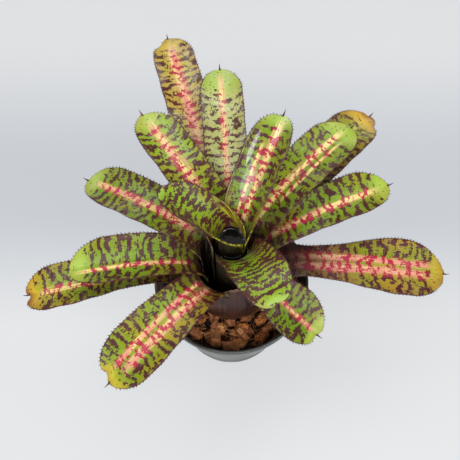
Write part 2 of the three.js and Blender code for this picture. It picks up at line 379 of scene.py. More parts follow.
def scurf_pattern(graph: Graph, place: bpy.types.NodeSocket, seed: Flow, amount: Flow) -> list[Flow]:
    """The silvery bloom of a leaf, in patches of fine cross lines.

    Args:
        graph: The effect's graph.
        place: The place on the leaf.
        seed: The leaf's own number.
        amount: How strong the bloom is.

    Returns:
        The bloom.
    """
    spot = LeafPlace(graph, place)
    lines = spot.noise(130.0, 1900.0, seed)
    patch = spot.noise(45.0, 32.0, seed + 5.0, detail=2.0)
    return [graph.rise(lines, 0.42, 0.68) * graph.rise(patch, 0.42, 0.66) * amount]


def dot_pattern(graph: Graph, place: bpy.types.NodeSocket, seed: Flow) -> list[Flow]:
    """Small scattered dots.

    Args:
        graph: The effect's graph.
        place: The place on the leaf.
        seed: The leaf's own number.

    Returns:
        The dots.
    """
    spot = LeafPlace(graph, place)
    near, pick = graph.spots(graph.join(spot.across * 330.0, spot.along * 330.0, seed))
    return [graph.fall(near, 0.14, 0.26) * graph.rise(pick, 0.45, 0.55)]


def dust_pattern(graph: Graph, place: bpy.types.NodeSocket) -> list[Flow]:
    """Dust and small scuffs, for plastic.

    Args:
        graph: The effect's graph.
        place: The point on the piece.

    Returns:
        The dust's clouds, the scratches and the specks.
    """
    cloud = graph.noise(place, scale=28.0, detail=4.0)
    scratch = graph.noise(graph.stretched(place, (240.0, 240.0, 1900.0)), detail=2.0)
    speck, pick = graph.spots(place, scale=620.0)
    specks = graph.fall(speck, 0.08, 0.2) * graph.rise(pick, 0.72, 0.78)
    return [graph.rise(cloud, 0.4, 0.75), graph.rise(scratch, 0.58, 0.72), specks]


def fibre_pattern(graph: Graph, place: bpy.types.NodeSocket) -> list[Flow]:
    """Coir: bundles of fibre along X with pith between them.

    Args:
        graph: The effect's graph.
        place: The point in the fibre's own frame.

    Returns:
        The fibre as a tint and as a height.
    """
    strands = graph.noise(graph.stretched(place, (90.0, 1500.0, 1500.0)), detail=2.0)
    bundles = graph.noise(graph.stretched(place, (60.0, 420.0, 420.0)), detail=3.0)
    pith = graph.noise(place, scale=900.0, detail=2.0)
    return [strands * 0.5 + bundles * 0.35 + pith * 0.15, strands * 0.6 + bundles * 0.4]


PLACE_IN = {"Place": VECTOR}
LEAF_IN = {**PLACE_IN, "Seed": FLOAT}
BAND_IN = {**LEAF_IN, "Pitch": FLOAT, "Coverage": FLOAT}
STRIPE_IN = {**LEAF_IN, "Offset": FLOAT, "Half": FLOAT, "Start": FLOAT, "End": FLOAT}
BANDS = Effect("leaf_bands", BAND_IN, ("Mask", "Flecks"), band_pattern)
STRIPE = Effect("leaf_stripe", STRIPE_IN, ("Mask", "Halo"), stripe_pattern)
VEINS = Effect("leaf_veins", LEAF_IN, ("Tint", "Height"), vein_pattern)
SCURF = Effect("leaf_scurf", {**LEAF_IN, "Amount": FLOAT}, ("Mask",), scurf_pattern)
DOTS = Effect("leaf_dots", LEAF_IN, ("Mask",), dot_pattern)
DUST = Effect("dust", PLACE_IN, ("Cloud", "Scratch", "Specks"), dust_pattern)
FIBRE = Effect("coir_fibre", PLACE_IN, ("Tint", "Height"), fibre_pattern)


def new_material(name: str) -> tuple[bpy.types.Material, Graph, bpy.types.Node]:
    """An empty material.

    Args:
        name: The material's name.

    Returns:
        The material, its graph and its shader.
    """
    material = bpy.data.materials.new(name)
    material.use_nodes = True
    material.node_tree.nodes.clear()
    graph = Graph(material.node_tree)
    shader = graph.node("ShaderNodeBsdfPrincipled", {})
    graph.node("ShaderNodeOutputMaterial", {"Surface": shader.outputs[0]})
    return material, graph, shader


def dress(
    graph: Graph,
    shader: bpy.types.Node,
    colour: bpy.types.NodeSocket,
    roughness: Flow,
    height: Flow,
    depth: float,
) -> None:
    """Feeds a shader its colour, roughness and relief.

    Args:
        graph: The material's graph.
        shader: The shader.
        colour: The colour over the surface.
        roughness: The roughness over the surface.
        height: The relief over the surface, from 0 to 1.
        depth: How deep the relief is, in metres.
    """
    bump = graph.node("ShaderNodeBump", {"Strength": 1.0, "Distance": depth, "Height": height})
    graph.feed(shader, {"Base Color": colour, "Roughness": roughness, "Normal": bump.outputs[0]})


# ------------------------------------------------------------------ finishes


class Age(Enum):
    """How old a leaf is: its tip colour, its scorch and how yellow it has turned."""

    YOUNG = ("94b04a", 0.0, 0.05)
    GROWN = ("9db544", 0.1, 0.15)
    OLD = ("c6b23a", 0.45, 0.3)
    OLDEST = ("d6a92f", 0.9, 0.42)

    def __init__(self, tip: str, scorch: float, yellowing: float) -> None:
        """Names the three values."""
        self.tip = tip
        self.scorch = scorch
        self.yellowing = yellowing


class Finish:
    """A finish that makes its own material."""

    def build(self, name: str) -> bpy.types.Material:
        """Makes the material.

        Args:
            name: The material's name.

        Returns:
            The material.
        """
        material, graph, shader = new_material(name)
        self.cover(graph, shader)
        return material

    def cover(self, graph: Graph, shader: bpy.types.Node) -> None:
        """Gives the shader the finish's colours and relief.

        Args:
            graph: The material's graph.
            shader: The shader.
        """
        raise NotImplementedError


@dataclass(frozen=True)
class Stripe:
    """A pale stripe: its distance from the midrib, half width, and ends as shares of the blade."""

    offset: float
    half: float
    start: float = 0.1
    end: float = 0.97


@dataclass(frozen=True)
class LeafFinish:
    """The skin of one leaf: sizes in millimetres, the rest as shares."""

    seed: float
    age: Age = Age.GROWN
    pitch: float = 6.6
    coverage: float = 0.4
    stripes: tuple[Stripe, ...] = ()
    blush: float = 0.5
    scurf: float = 0.1
    dark_base: float = 0.1
    plain_tip: float = 0.9
    green: str = "4b7607"
    light_green: str = "7f9c1a"
    flush: float = 0.3
    green_sheath: float = 0.1
    hem: float = 0.0
    gloss: float = 0.06

    MAROON = "3f0a1e"
    CRIMSON = "a80f3a"
    WINE = "6e1f38"
    CREAM = "e4c982"
    PINK = "d28877"
    BASE = "190507"
    YELLOW = "bfa820"
    BROWN = "6e3a20"
    EDGE = "4a1a1a"
    FLARE = "7a1a24"
    SILVER = "c9cbbd"
    RUST = "94552c"
    # Deep green: the colour of the flecks between bands, and painted shade towards each leaf's base.
    DEEP_GREEN_AND_BASE_SHADE = "33500c"
    HEM_PALE = "a3a330"
    HEM_DARK = "571d16"
    UNDER_GREEN = "5f7d2a"
    UNDER_LIGHT = "8ea05a"
    UNDER_BAND = "4e222c"
    UNDER_BLOOM = "b9bba8"
    # Near black: partly the sheath's own dark colour, partly painted shade in the gaps round the cup.
    UNDER_SHEATH_DARK_AND_SHADE = "1d0b09"
    UPPER_HEM_START = 0.64
    UNDER_HEM_START = 0.88
    UPPER_RELIEF = 0.00022
    UNDER_RELIEF = 0.0003

    def hemmed(self, graph: Graph, body: bpy.types.NodeSocket, start: float) -> bpy.types.NodeSocket:
        """Lays the pale, dark-lined hem of a clasping base over a colour, if the leaf has one.

        Args:
            graph: The material's graph.
            body: The colour under the hem.
            start: How far out the hem begins, from 0 at the midrib to 1 at the edge.

        Returns:
            The colour with the hem.
        """
        if not self.hem:
            return body
        spot = LeafPlace(graph, graph.carried(PLACE_LAYER))
        edge = graph.carried_number(EDGE_LAYER)
        lines = spot.noise(1400.0, 30.0, self.seed + 60.0)
        streaked = graph.mix(graph.rise(lines, 0.47, 0.56), self.HEM_PALE, self.HEM_DARK)
        low = graph.fall(spot.share, 0.2, 0.45) * graph.rise(spot.share, -0.05, 0.0)
        return graph.mix(graph.rise(edge, start, start + 0.1) * low * self.hem, body, streaked)

    def striped(self, graph: Graph, where: bpy.types.NodeSocket, nothing: Flow) -> tuple[Flow, Flow]:
        """All the leaf's stripes together.

        Args:
            graph: The material's graph.
            where: The place on the leaf.
            nothing: What a leaf without stripes has.

        Returns:
            The stripes, and the halo round them.
        """
        stripes = halo = nothing
        for stripe in self.stripes:
            mask, around = STRIPE.on(
                graph,
                Place=where,
                Seed=self.seed + stripe.offset,
                Offset=stripe.offset * MM,
                Half=stripe.half * MM,
                Start=stripe.start,
                End=stripe.end,
            )
            stripes = graph.math("MAXIMUM", mask, stripes)
            halo = graph.math("MAXIMUM", around, halo)
        return stripes, halo

    def upper(self, name: str) -> bpy.types.Material:
        """The glossy upper face: green and banded, with the stripes that turn the bands crimson.

        Args:
            name: The material's name.

        Returns:
            The material.
        """
        material, graph, shader = new_material(name)
        where = graph.carried(PLACE_LAYER)
        edge = graph.carried_number(EDGE_LAYER)
        spot = LeafPlace(graph, where)
        share = spot.share
        tint, height = VEINS.on(graph, Place=where, Seed=self.seed)
        (dots,) = DOTS.on(graph, Place=where, Seed=self.seed)
        (scurf,) = SCURF.on(graph, Place=where, Seed=self.seed, Amount=self.scurf)
        cloud = spot.noise(38.0, 24.0, self.seed + 40.0, detail=2.0)
        yellowed = graph.rise(cloud, 0.42, 0.75) * (self.age.yellowing * 1.6) + self.age.yellowing * 0.3
        tip = graph.rise(share + (cloud - 0.5) * 0.12, self.plain_tip - 0.06, self.plain_tip + 0.06)
        flare = graph.fall(share, self.dark_base, self.dark_base + 0.3) * self.flush
        rust = graph.rise(cloud + edge * 0.3, 0.45, 0.95) * self.flush

        stripes, halo = self.striped(graph, where, share * 0.0)
        blush = graph.rise(
            spot.noise(260.0, 42.0, self.seed + 50.0, detail=2.0),
            0.78 - self.blush * 0.7,
            0.95 - self.blush * 0.5,
        )
        coverage = edge * edge * 0.1 + self.coverage - tip * 0.6
        coverage = coverage + graph.fall(share, 0.0, 0.45) * 0.05 - halo * 0.03
        pitch = self.pitch * MM
        bands, flecks = BANDS.on(graph, Place=where, Seed=self.seed, Pitch=pitch, Coverage=coverage)
        ink = graph.mix(halo, self.MAROON, self.CRIMSON)
        base = graph.fall(share + (tint - 0.5) * 0.1, self.dark_base * 0.3, self.dark_base * 1.6)
        rim = graph.rise(edge, 0.95, 1.0) * graph.rise(share, 0.1, 0.3)
        burnt = graph.rise(share + (cloud - 0.5) * 0.16, 0.94, 1.0) * self.age.scorch

        body = graph.lay(
            graph.mix(tint, self.green, self.light_green),
            (yellowed, self.YELLOW),
            (tip * 0.85, self.age.tip),
            # Painted shade: the upper face darkens to deep green towards the base, where the rosette's
            # middle lies in shade.
            (graph.fall(share, 0.0, 0.5) * 0.4, self.DEEP_GREEN_AND_BASE_SHADE),
            (flare, self.FLARE),
            (rust, self.RUST),
            (stripes, graph.mix(blush, self.CREAM, self.PINK)),
            (flecks * (1.0 - tip) * 0.35, graph.mix(halo, self.DEEP_GREEN_AND_BASE_SHADE, self.CRIMSON)),
            (bands * 0.95, graph.mix(graph.rise(tint, 0.35, 0.75) * 0.2, ink, self.WINE)),
            (dots * tip * 0.9, self.MAROON),
            (base * 0.96, self.BASE),
            (rim * 0.75, self.EDGE),
        )
        body = self.hemmed(graph, body, self.UPPER_HEM_START)
        body = graph.lay(body, (burnt, self.BROWN), (scurf, self.SILVER))
        roughness = scurf * 0.5 + tint * 0.16 + burnt * 0.3 + 0.24
        dress(graph, shader, body, roughness, height + bands * 0.25, self.UPPER_RELIEF)
        graph.feed(shader, {"Specular IOR Level": 0.2, "Coat Weight": self.gloss, "Coat Roughness": 0.1})
        return material

    def lower(self, name: str) -> bpy.types.Material:
        """The dull underside: the same bands under a silvery bloom.

        Args:
            name: The material's name.

        Returns:
            The material.
        """
        material, graph, shader = new_material(name)
        where = graph.carried(PLACE_LAYER)
        share = LeafPlace(graph, where).share
        tint, height = VEINS.on(graph, Place=where, Seed=self.seed + 90.0)
        (scurf,) = SCURF.on(graph, Place=where, Seed=self.seed + 9.0, Amount=0.5)
        tip = graph.rise(share, self.plain_tip, self.plain_tip + 0.1)
        coverage = self.coverage - tip * 0.5 + 0.04
        pitch = self.pitch * MM
        bands, _ = BANDS.on(graph, Place=where, Seed=self.seed, Pitch=pitch, Coverage=coverage)
        low = self.dark_base * 0.3 - self.green_sheath
        blade = graph.rise(share, low, low + self.dark_base * 1.1 + 0.12)
        body = graph.lay(
            graph.mix(tint, self.UNDER_GREEN, self.UNDER_LIGHT),
            (tip * 0.6, self.age.tip),
            (bands * 0.85, self.UNDER_BAND),
            ((scurf + 0.1) * blade, self.UNDER_BLOOM),
            # Near black down the sheath: partly its own dark colour and partly painted shade for the
            # shaded gap round the cup.
            ((1.0 - blade) * 0.88, self.UNDER_SHEATH_DARK_AND_SHADE),
        )
        body = self.hemmed(graph, body, self.UNDER_HEM_START)
        dress(graph, shader, body, scurf * 0.4 + tint * 0.15 + 0.38, height, self.UNDER_RELIEF)
        return material


@dataclass(frozen=True)
class DryLeafFinish(Finish):
    """Dead sheath tissue: ribbed lengthwise, satin, and torn paler along its edges."""

    dark: str = "200e0b"
    mid: str = "492a21"
    pale: str = "8f6b58"
    seed: float = 3.0
    relief: float = 0.0008

    def cover(self, graph: Graph, shader: bpy.types.Node) -> None:
        """The ribs, the cloudy browns and the pale torn edges."""
        where = graph.carried(PLACE_LAYER)
        edge = graph.carried_number(EDGE_LAYER)
        spot = LeafPlace(graph, where)
        tint, height = VEINS.on(graph, Place=where, Seed=self.seed)
        cloud = spot.noise(70.0, 55.0, self.seed + 4.0, detail=3.0)
        body = graph.lay(
            graph.mix(graph.rise(cloud, 0.3, 0.75), self.dark, self.mid),
            (graph.rise(tint, 0.5, 0.8) * 0.5, self.pale),
            (graph.rise(edge, 0.9, 1.0) * 0.8, self.pale),
            (graph.rise(spot.share, 0.9, 1.0) * 0.5, self.pale),
        )
        dress(graph, shader, body, cloud * 0.3 + 0.24, height, self.relief)


@dataclass(frozen=True)
class ThornFinish(Finish):
    """Horny marginal teeth and the point at a leaf's tip: paler at the root, mottled by place."""

    root: str = "4c1a1c"
    point: str = "1c060a"
    relief: float = 0.0001

    def cover(self, graph: Graph, shader: bpy.types.Node) -> None:
        """Dark horn, mottled by place."""
        mottle = graph.noise(graph.place(), scale=420.0, detail=2.0)
        body = graph.mix(graph.rise(mottle, 0.35, 0.7), self.point, self.root)
        dress(graph, shader, body, mottle * 0.3 + 0.3, mottle, self.relief)


@dataclass(frozen=True)
class PotPlastic(Finish):
    """Satin black polypropylene with a moulded skin, scuffs and dried splashes."""

    base: str = "1e1e1f"
    wall: str = "464543"
    haze: str = "2a2a2a"
    worn: str = "5a5957"
    dust: str = "6f685e"
    relief: float = 0.00004

    def cover(self, graph: Graph, shader: bpy.types.Node) -> None:
        """The grey wall under the darker lip, scuffed and dusty; the wall's lighter grey is partly the
        plastic's own tone and partly a painted reflection of the pale floor.
        """
        place = graph.place()
        cloud, scratch, specks = DUST.on(graph, Place=place)
        height = graph.split(place)[2]
        low = graph.fall(height, 0.0, 0.03)
        rim = graph.rise(height, 0.1025, 0.104)
        # The wall below the lip is lighter than the lip: partly the plastic's own grey, partly a painted
        # reflection of the floor.
        body = graph.lay(
            graph.mix(graph.rise(height, 0.094, 0.099), self.wall, self.base),
            (cloud * 0.35, self.haze),
            (scratch * 0.35 + rim * cloud * 0.8, self.worn),
            (specks * 0.5 + low * cloud * 0.35, self.dust),
        )
        grain = graph.noise(place, scale=2600.0)
        roughness = cloud * 0.14 + specks * 0.2 + 0.3
        dress(graph, shader, body, roughness, grain * 0.5 + scratch * 0.5, self.relief)
        graph.feed(shader, {"Specular IOR Level": 0.85})


@dataclass(frozen=True)
class HuskFinish(Finish):
    """Chopped coconut husk, with its fibres along the part's X axis or along the chip's own."""

    dark: str
    mid: str
    pale: str
    own_frame: str = ""
    roughness: float = 0.72
    relief: float = 0.0009

    def cover(self, graph: Graph, shader: bpy.types.Node) -> None:
        """Bundles of fibre, paler in lumps."""
        place = graph.carried(self.own_frame) if self.own_frame else graph.place()
        tint, height = FIBRE.on(graph, Place=place)
        lump = graph.noise(place, scale=55.0, detail=3.0)
        body = graph.lay(
            graph.mix(graph.rise(tint, 0.34, 0.66), self.dark, self.mid),
            (graph.rise(lump, 0.5, 0.72) * graph.rise(tint, 0.42, 0.7), self.pale),
        )
        dress(graph, shader, body, tint * 0.2 + self.roughness, height, self.relief)


@dataclass(frozen=True)
class StemFinish(Finish):
    """Corky stem and root bark."""

    dark: str = "3a2c1c"
    pale: str = "7d6a48"
    relief: float = 0.0006

    def cover(self, graph: Graph, shader: bpy.types.Node) -> None:
        """Rings of cork round the stem."""
        rings = graph.noise(graph.stretched(graph.place(), (160.0, 160.0, 620.0)), detail=3.0)
        body = graph.mix(graph.rise(rings, 0.35, 0.7), self.dark, self.pale)
        dress(graph, shader, body, rings * 0.2 + 0.65, rings, self.relief)


@dataclass(frozen=True)
class WaterFinish(Finish):
    """Still rain water, brown with leaf litter."""

    gloss: float = 0.05
    coat: float = 0.0
    tint: tuple[float, float, float, float] = (0.006, 0.005, 0.004, 1.0)
    bend: float = 1.33
    ripple: float = 0.0004

    def cover(self, graph: Graph, shader: bpy.types.Node) -> None:
        """Dark water with a faint ripple."""
        height = graph.noise(graph.place(), scale=190.0)
        bump = graph.node("ShaderNodeBump", {"Strength": 0.6, "Distance": self.ripple, "Height": height})
        inputs = {
            "Normal": bump.outputs[0],
            "Base Color": self.tint,
            "Roughness": 0.03,
            "IOR": self.bend,
            "Transmission Weight": 0.15,
            "Specular IOR Level": self.gloss,
            "Coat Weight": self.coat,
        }
        graph.feed(shader, inputs)


# ------------------------------------------------------------------ pieces


def stand(name: str, data: object) -> bpy.types.Object:
    """Adds an object to the scene."""
    made = bpy.data.objects.new(name, data)
    bpy.context.scene.collection.objects.link(made)
    return made


def solid(bm: bmesh.types.BMesh, name: str) -> bpy.types.Object:
    """Makes a bmesh an object, and frees it.

    Args:
        bm: The mesh, in the part's frame.
        name: The object's name.

    Returns:
        The object.
    """
    mesh = bpy.data.meshes.new(name)
    bm.to_mesh(mesh)
    bm.free()
    return stand(name, mesh)


def finish_piece(
    bm: bmesh.types.BMesh,
    name: str,
    materials: list[bpy.types.Material],
    nodes: tuple[str, ...] = (),
    rounded: bool = True,
) -> bpy.types.Object:
    """Makes a bmesh a piece that rides on the part.

    Args:
        bm: The mesh, in the part's frame. It is freed.
        name: The piece's name.
        materials: The piece's materials.
        nodes: The CAD nodes that it stands for.
        rounded: Whether light runs smoothly over its faces.

    Returns:
        The piece.
    """
    piece = solid(bm, name)
    for material in materials:
        piece.data.materials.append(material)
    for face in piece.data.polygons:
        face.use_smooth = rounded
    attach(piece, ROOT)
    if nodes:
        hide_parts(*nodes)
    LOG.info("%s: %d faces", name, len(piece.data.polygons))
    return piece


def turned(section: list[tuple[float, float]], steps: int) -> bmesh.types.BMesh:
    """Turns a section round the part's axis.

    Args:
        section: The radii and heights of its points, in millimetres.
        steps: How many flats the round has.

    Returns:
        The turned mesh.
    """
    bm = bmesh.new()
    ring = [bm.verts.new(Vector((radius, 0.0, height)) * MM) for radius, height in section]
    edges = [bm.edges.new(pair) for pair in zip(ring, ring[1:])]
    bmesh.ops.spin(
        bm, geom=ring + edges, axis=UP, cent=Vector(), angle=2 * math.pi, steps=steps, use_merge=True
    )
    bmesh.ops.remove_doubles(bm, verts=bm.verts, dist=1e-6)
    bmesh.ops.recalc_face_normals(bm, faces=bm.faces)
    return bm


def thicken(piece: bpy.types.Object, thickness: float, under: int = 1) -> None:
    """Gives a sheet its thickness, downwards.

    Args:
        piece: The sheet.
        thickness: In metres.
        under: How many materials further on the underside's material is.
    """
    depth = piece.modifiers.new("thickness", "SOLIDIFY")
    depth.thickness = thickness
    depth.offset = -1.0
    depth.material_offset = under
    depth.material_offset_rim = 0


# ------------------------------------------------------------------ leaves

STEM_RADIUS = 6.0
SEAT_GAP = 0.3
SHEATH_CENTRE = 108.0
CUP_RADIUS = 9.5
LAYER_PITCH = 1.7
LEAF_THICKNESS = 0.9
MAX_WRAP = math.radians(126.0)
LEAF_FOOT = (STEM_RADIUS + SEAT_GAP) / math.cos(MAX_WRAP / 6)
TIP_LENGTH = 1.25
TIP_BLUNTNESS = 2.2
ARRIVAL = 0.4
OPENING = 0.45
WIDENING = 0.55
LAP_END = 0.2
RIB_STEPS = 240
MIN_HALF = 0.25
CLIMB = 0.35
STRAIGHT_ROWS = 0.8
TEAR_START = 0.86
TEAR_END = 0.95
RUFFLE_LENGTH = 3.6
GROOVE_DEPTH = 0.35
GROOVE_HALF = 1.4


@dataclass(frozen=True)
class Notch:
    """A bite out of a leaf's end: where across it, how deep in millimetres, and how wide as a share."""

    across: float
    depth: float
    width: float = 0.18


@dataclass
class LeafShape:
    """One leaf's curve, in millimetres and degrees, with its midrib over the X axis until it is turned."""

    azimuth: float
    throat: float
    lift: float
    reach: float
    rise: float
    dip: float
    base: float
    width: float
    fold: float
    sweep: float = 0.0
    layer: int = 0
    notches: tuple[Notch, ...] = ()
    ragged: float = 0.3
    ruffle: float = 0.35
    taper: float = 0.22
    slim: float = 0.05
    waist: float = 0.06
    lap: float = 0.0
    sheath_rows: int = 12
    blade_rows: int = 120
    columns: int = 28
    rib: list[Vector] = field(default_factory=list)
    reached: list[float] = field(default_factory=list)

    def __post_init__(self) -> None:
        """Measures the midrib."""
        self.wall = CUP_RADIUS + LAYER_PITCH * self.layer
        self.wrap = min(self.base / 2 / self.wall, MAX_WRAP)
        self.lapped = math.radians(self.lap)
        start = Vector((self.wall, 0.0, self.throat))
        end = Vector((self.reach, 0.0, self.rise))
        dip = math.radians(self.dip)
        handle = Vector((-math.cos(dip), 0.0, math.sin(dip))) * ARRIVAL * (end - start).length
        knots = (start, start + UP * self.lift, end + handle, end)
        for i in range(RIB_STEPS + 1):
            t = i / RIB_STEPS
            u = 1 - t
            weights = (u**3, 3 * u * u * t, 3 * u * t * t, t**3)
            self.rib.append(sum((k * w for k, w in zip(knots, weights)), Vector()))
            gone = (self.rib[-1] - self.rib[-2]).length if i else 0.0
            self.reached.append((self.reached[-1] if i else 0.0) + gone)
        self.length = self.reached[-1]
        self.half_width = self.width / 2
        self.tip_start = 1 - min(0.5, TIP_LENGTH * self.half_width / self.length)

    def rib_at(self, share: float) -> tuple[Vector, Vector]:
        """The midrib's point and direction.

        Args:
            share: The share of its length.

        Returns:
            The point and the direction.
        """
        share = min(1.0, max(0.0, share))
        wanted = share * self.length
        low, high = 0, len(self.reached) - 1
        while high - low > 1:
            middle = (low + high) // 2
            if self.reached[middle] <= wanted:
                low = middle
            else:
                high = middle
        span = self.reached[high] - self.reached[low]
        point = self.rib[low].lerp(self.rib[high], (wanted - self.reached[low]) / span)
        return point, (self.rib[high] - self.rib[low]).normalized()

    def half_at(self, share: float) -> float:
        """Half the leaf's width, round its curve.

        Args:
            share: The share of the blade.

        Returns:
            Half the width, in millimetres.
        """
        past = max(0.0, (share - self.tip_start) / (1 - self.tip_start))
        rounding = math.sqrt(1 - min(1.0, past**TIP_BLUNTNESS)) * (1 - self.taper * past)
        grown = lerp(self.wrap * self.wall, self.half_width, smooth(share, 0.0, WIDENING))
        grown += self.lapped * self.wall * (1 - smooth(share, 0.0, LAP_END))
        waist = 1 - self.waist * smooth(share, 0.0, 0.25) * (1 - smooth(share, 0.35, 0.75))
        return max(MIN_HALF, grown * rounding * waist * (1 - self.slim * smooth(share, 0.3, 0.8)))

    def sheath_point(self, share: float, across: float, depth: float) -> Vector:
        """A point of the clasping base, from the stem to the throat.

        Args:
            share: From -1 at the stem to 0 at the throat.
            across: From -1 at one edge to 1 at the other.
            depth: How far under the upper face.

        Returns:
            The point, before the leaf is turned.
        """
        turn = self.wall - LEAF_FOOT + depth
        climbing = max(0.0, (share + CLIMB) / CLIMB)
        turning = min(1.0, (share + 1) / (1 - CLIMB))
        angle = turning * math.pi / 2
        radius = LEAF_FOOT + turn * math.sin(angle)
        height = lerp(SHEATH_CENTRE - turn * math.cos(angle), self.throat, climbing)
        return polar(radius, across * (self.wrap + self.lapped * climbing), height)

    def blade_point(self, share: float, across: float, depth: float) -> Vector:
        """A point of the blade, from the throat to the tip.

        Args:
            share: From 0 at the throat to 1 at the tip.
            across: From -1 at one edge to 1 at the other.
            depth: How far under the upper face.

        Returns:
            The point, before the leaf is turned.
        """
        half = self.half_at(share)
        aside = across * half / self.half_width
        cut = sum(n.depth * math.exp(-(((aside - n.across) / n.width) ** 2)) for n in self.notches)
        torn = noise.noise(Vector((aside * 7.0, self.azimuth, 0.0))) * self.ragged
        pulled = share - (cut + abs(torn)) / self.length * smooth(share, TEAR_START, TEAR_END)
        rib, along = self.rib_at(pulled)
        opened = math.radians(self.fold) / self.half_width
        curvature = lerp(1 / self.wall, opened, smooth(share, 0.0, OPENING))
        radius = 1 / curvature
        inward = Vector((-along.z, 0.0, along.x))
        angle = across * half * curvature
        wave = math.sin(share * self.length / RUFFLE_LENGTH + self.azimuth + (2.0 if across > 0 else 0.0))
        wave *= self.ruffle * abs(across) ** 3 * smooth(share, 0.25, 0.5)
        groove = GROOVE_DEPTH * math.exp(-((across * half / GROOVE_HALF) ** 2)) * smooth(share, 0.2, 0.4)
        reach = radius + depth + wave + groove
        point = rib + inward * (radius - reach * math.cos(angle))
        point.y += reach * math.sin(angle) + self.sweep * share * share
        return point

    def point(self, share: float, across: float, depth: float = 0.0) -> Vector:
        """A point of the leaf in the part's frame, in metres.

        Args:
            share: From -1 at the stem through 0 at the throat to 1 at the tip.
            across: From -1 at one edge to 1 at the other.
            depth: How far under the upper face, in millimetres.

        Returns:
            The point.
        """
        pick = self.blade_point if share >= 0 else self.sheath_point
        turned = Matrix.Rotation(math.radians(self.azimuth), 3, "Z") @ pick(share, across, depth)
        return turned * MM

    def row_share(self, row: int) -> float:
        """The share at a row of the mesh: the rows crowd together where the tip rounds off.

        Args:
            row: The row, counted from the stem.

        Returns:
            The share, from -1 at the stem to 1 at the tip.
        """
        if row < self.sheath_rows:
            return row / self.sheath_rows - 1.0
        t = (row - self.sheath_rows) / self.blade_rows
        if t <= STRAIGHT_ROWS:
            return self.tip_start * t / STRAIGHT_ROWS
        rounding = (t - STRAIGHT_ROWS) / (1 - STRAIGHT_ROWS)
        return lerp(self.tip_start, 1.0, math.sin(rounding * math.pi / 2))

    def mesh(self) -> bmesh.types.BMesh:
        """The upper face as a fine sheet that carries its own places along and across the leaf."""
        bm = bmesh.new()
        rows = self.sheath_rows + self.blade_rows
        sheath_length = self.throat - SHEATH_CENTRE + self.wall
        bmesh.ops.create_grid(bm, x_segments=self.columns, y_segments=rows, size=0.5)
        place = bm.verts.layers.float_vector.new(PLACE_LAYER)
        rim = bm.verts.layers.float.new(EDGE_LAYER)
        for vert in bm.verts:
            across = 2 * vert.co.x
            share = self.row_share(round((vert.co.y + 0.5) * rows))
            half = self.half_at(max(0.0, share))
            along = share * (self.length if share >= 0 else sheath_length)
            vert[place] = Vector((across * half * MM, along * MM, share))
            vert[rim] = abs(across)
            vert.co = self.point(share, across)
        bm.normal_update()
        middle = self.point(0.5, 0.0, 1.0) - self.point(0.5, 0.0)
        facing = min(bm.faces, key=lambda f: (f.calc_center_median() - self.point(0.5, 0.0)).length)
        if facing.normal.dot(middle) > 0:
            bmesh.ops.reverse_faces(bm, faces=bm.faces)
        return bm


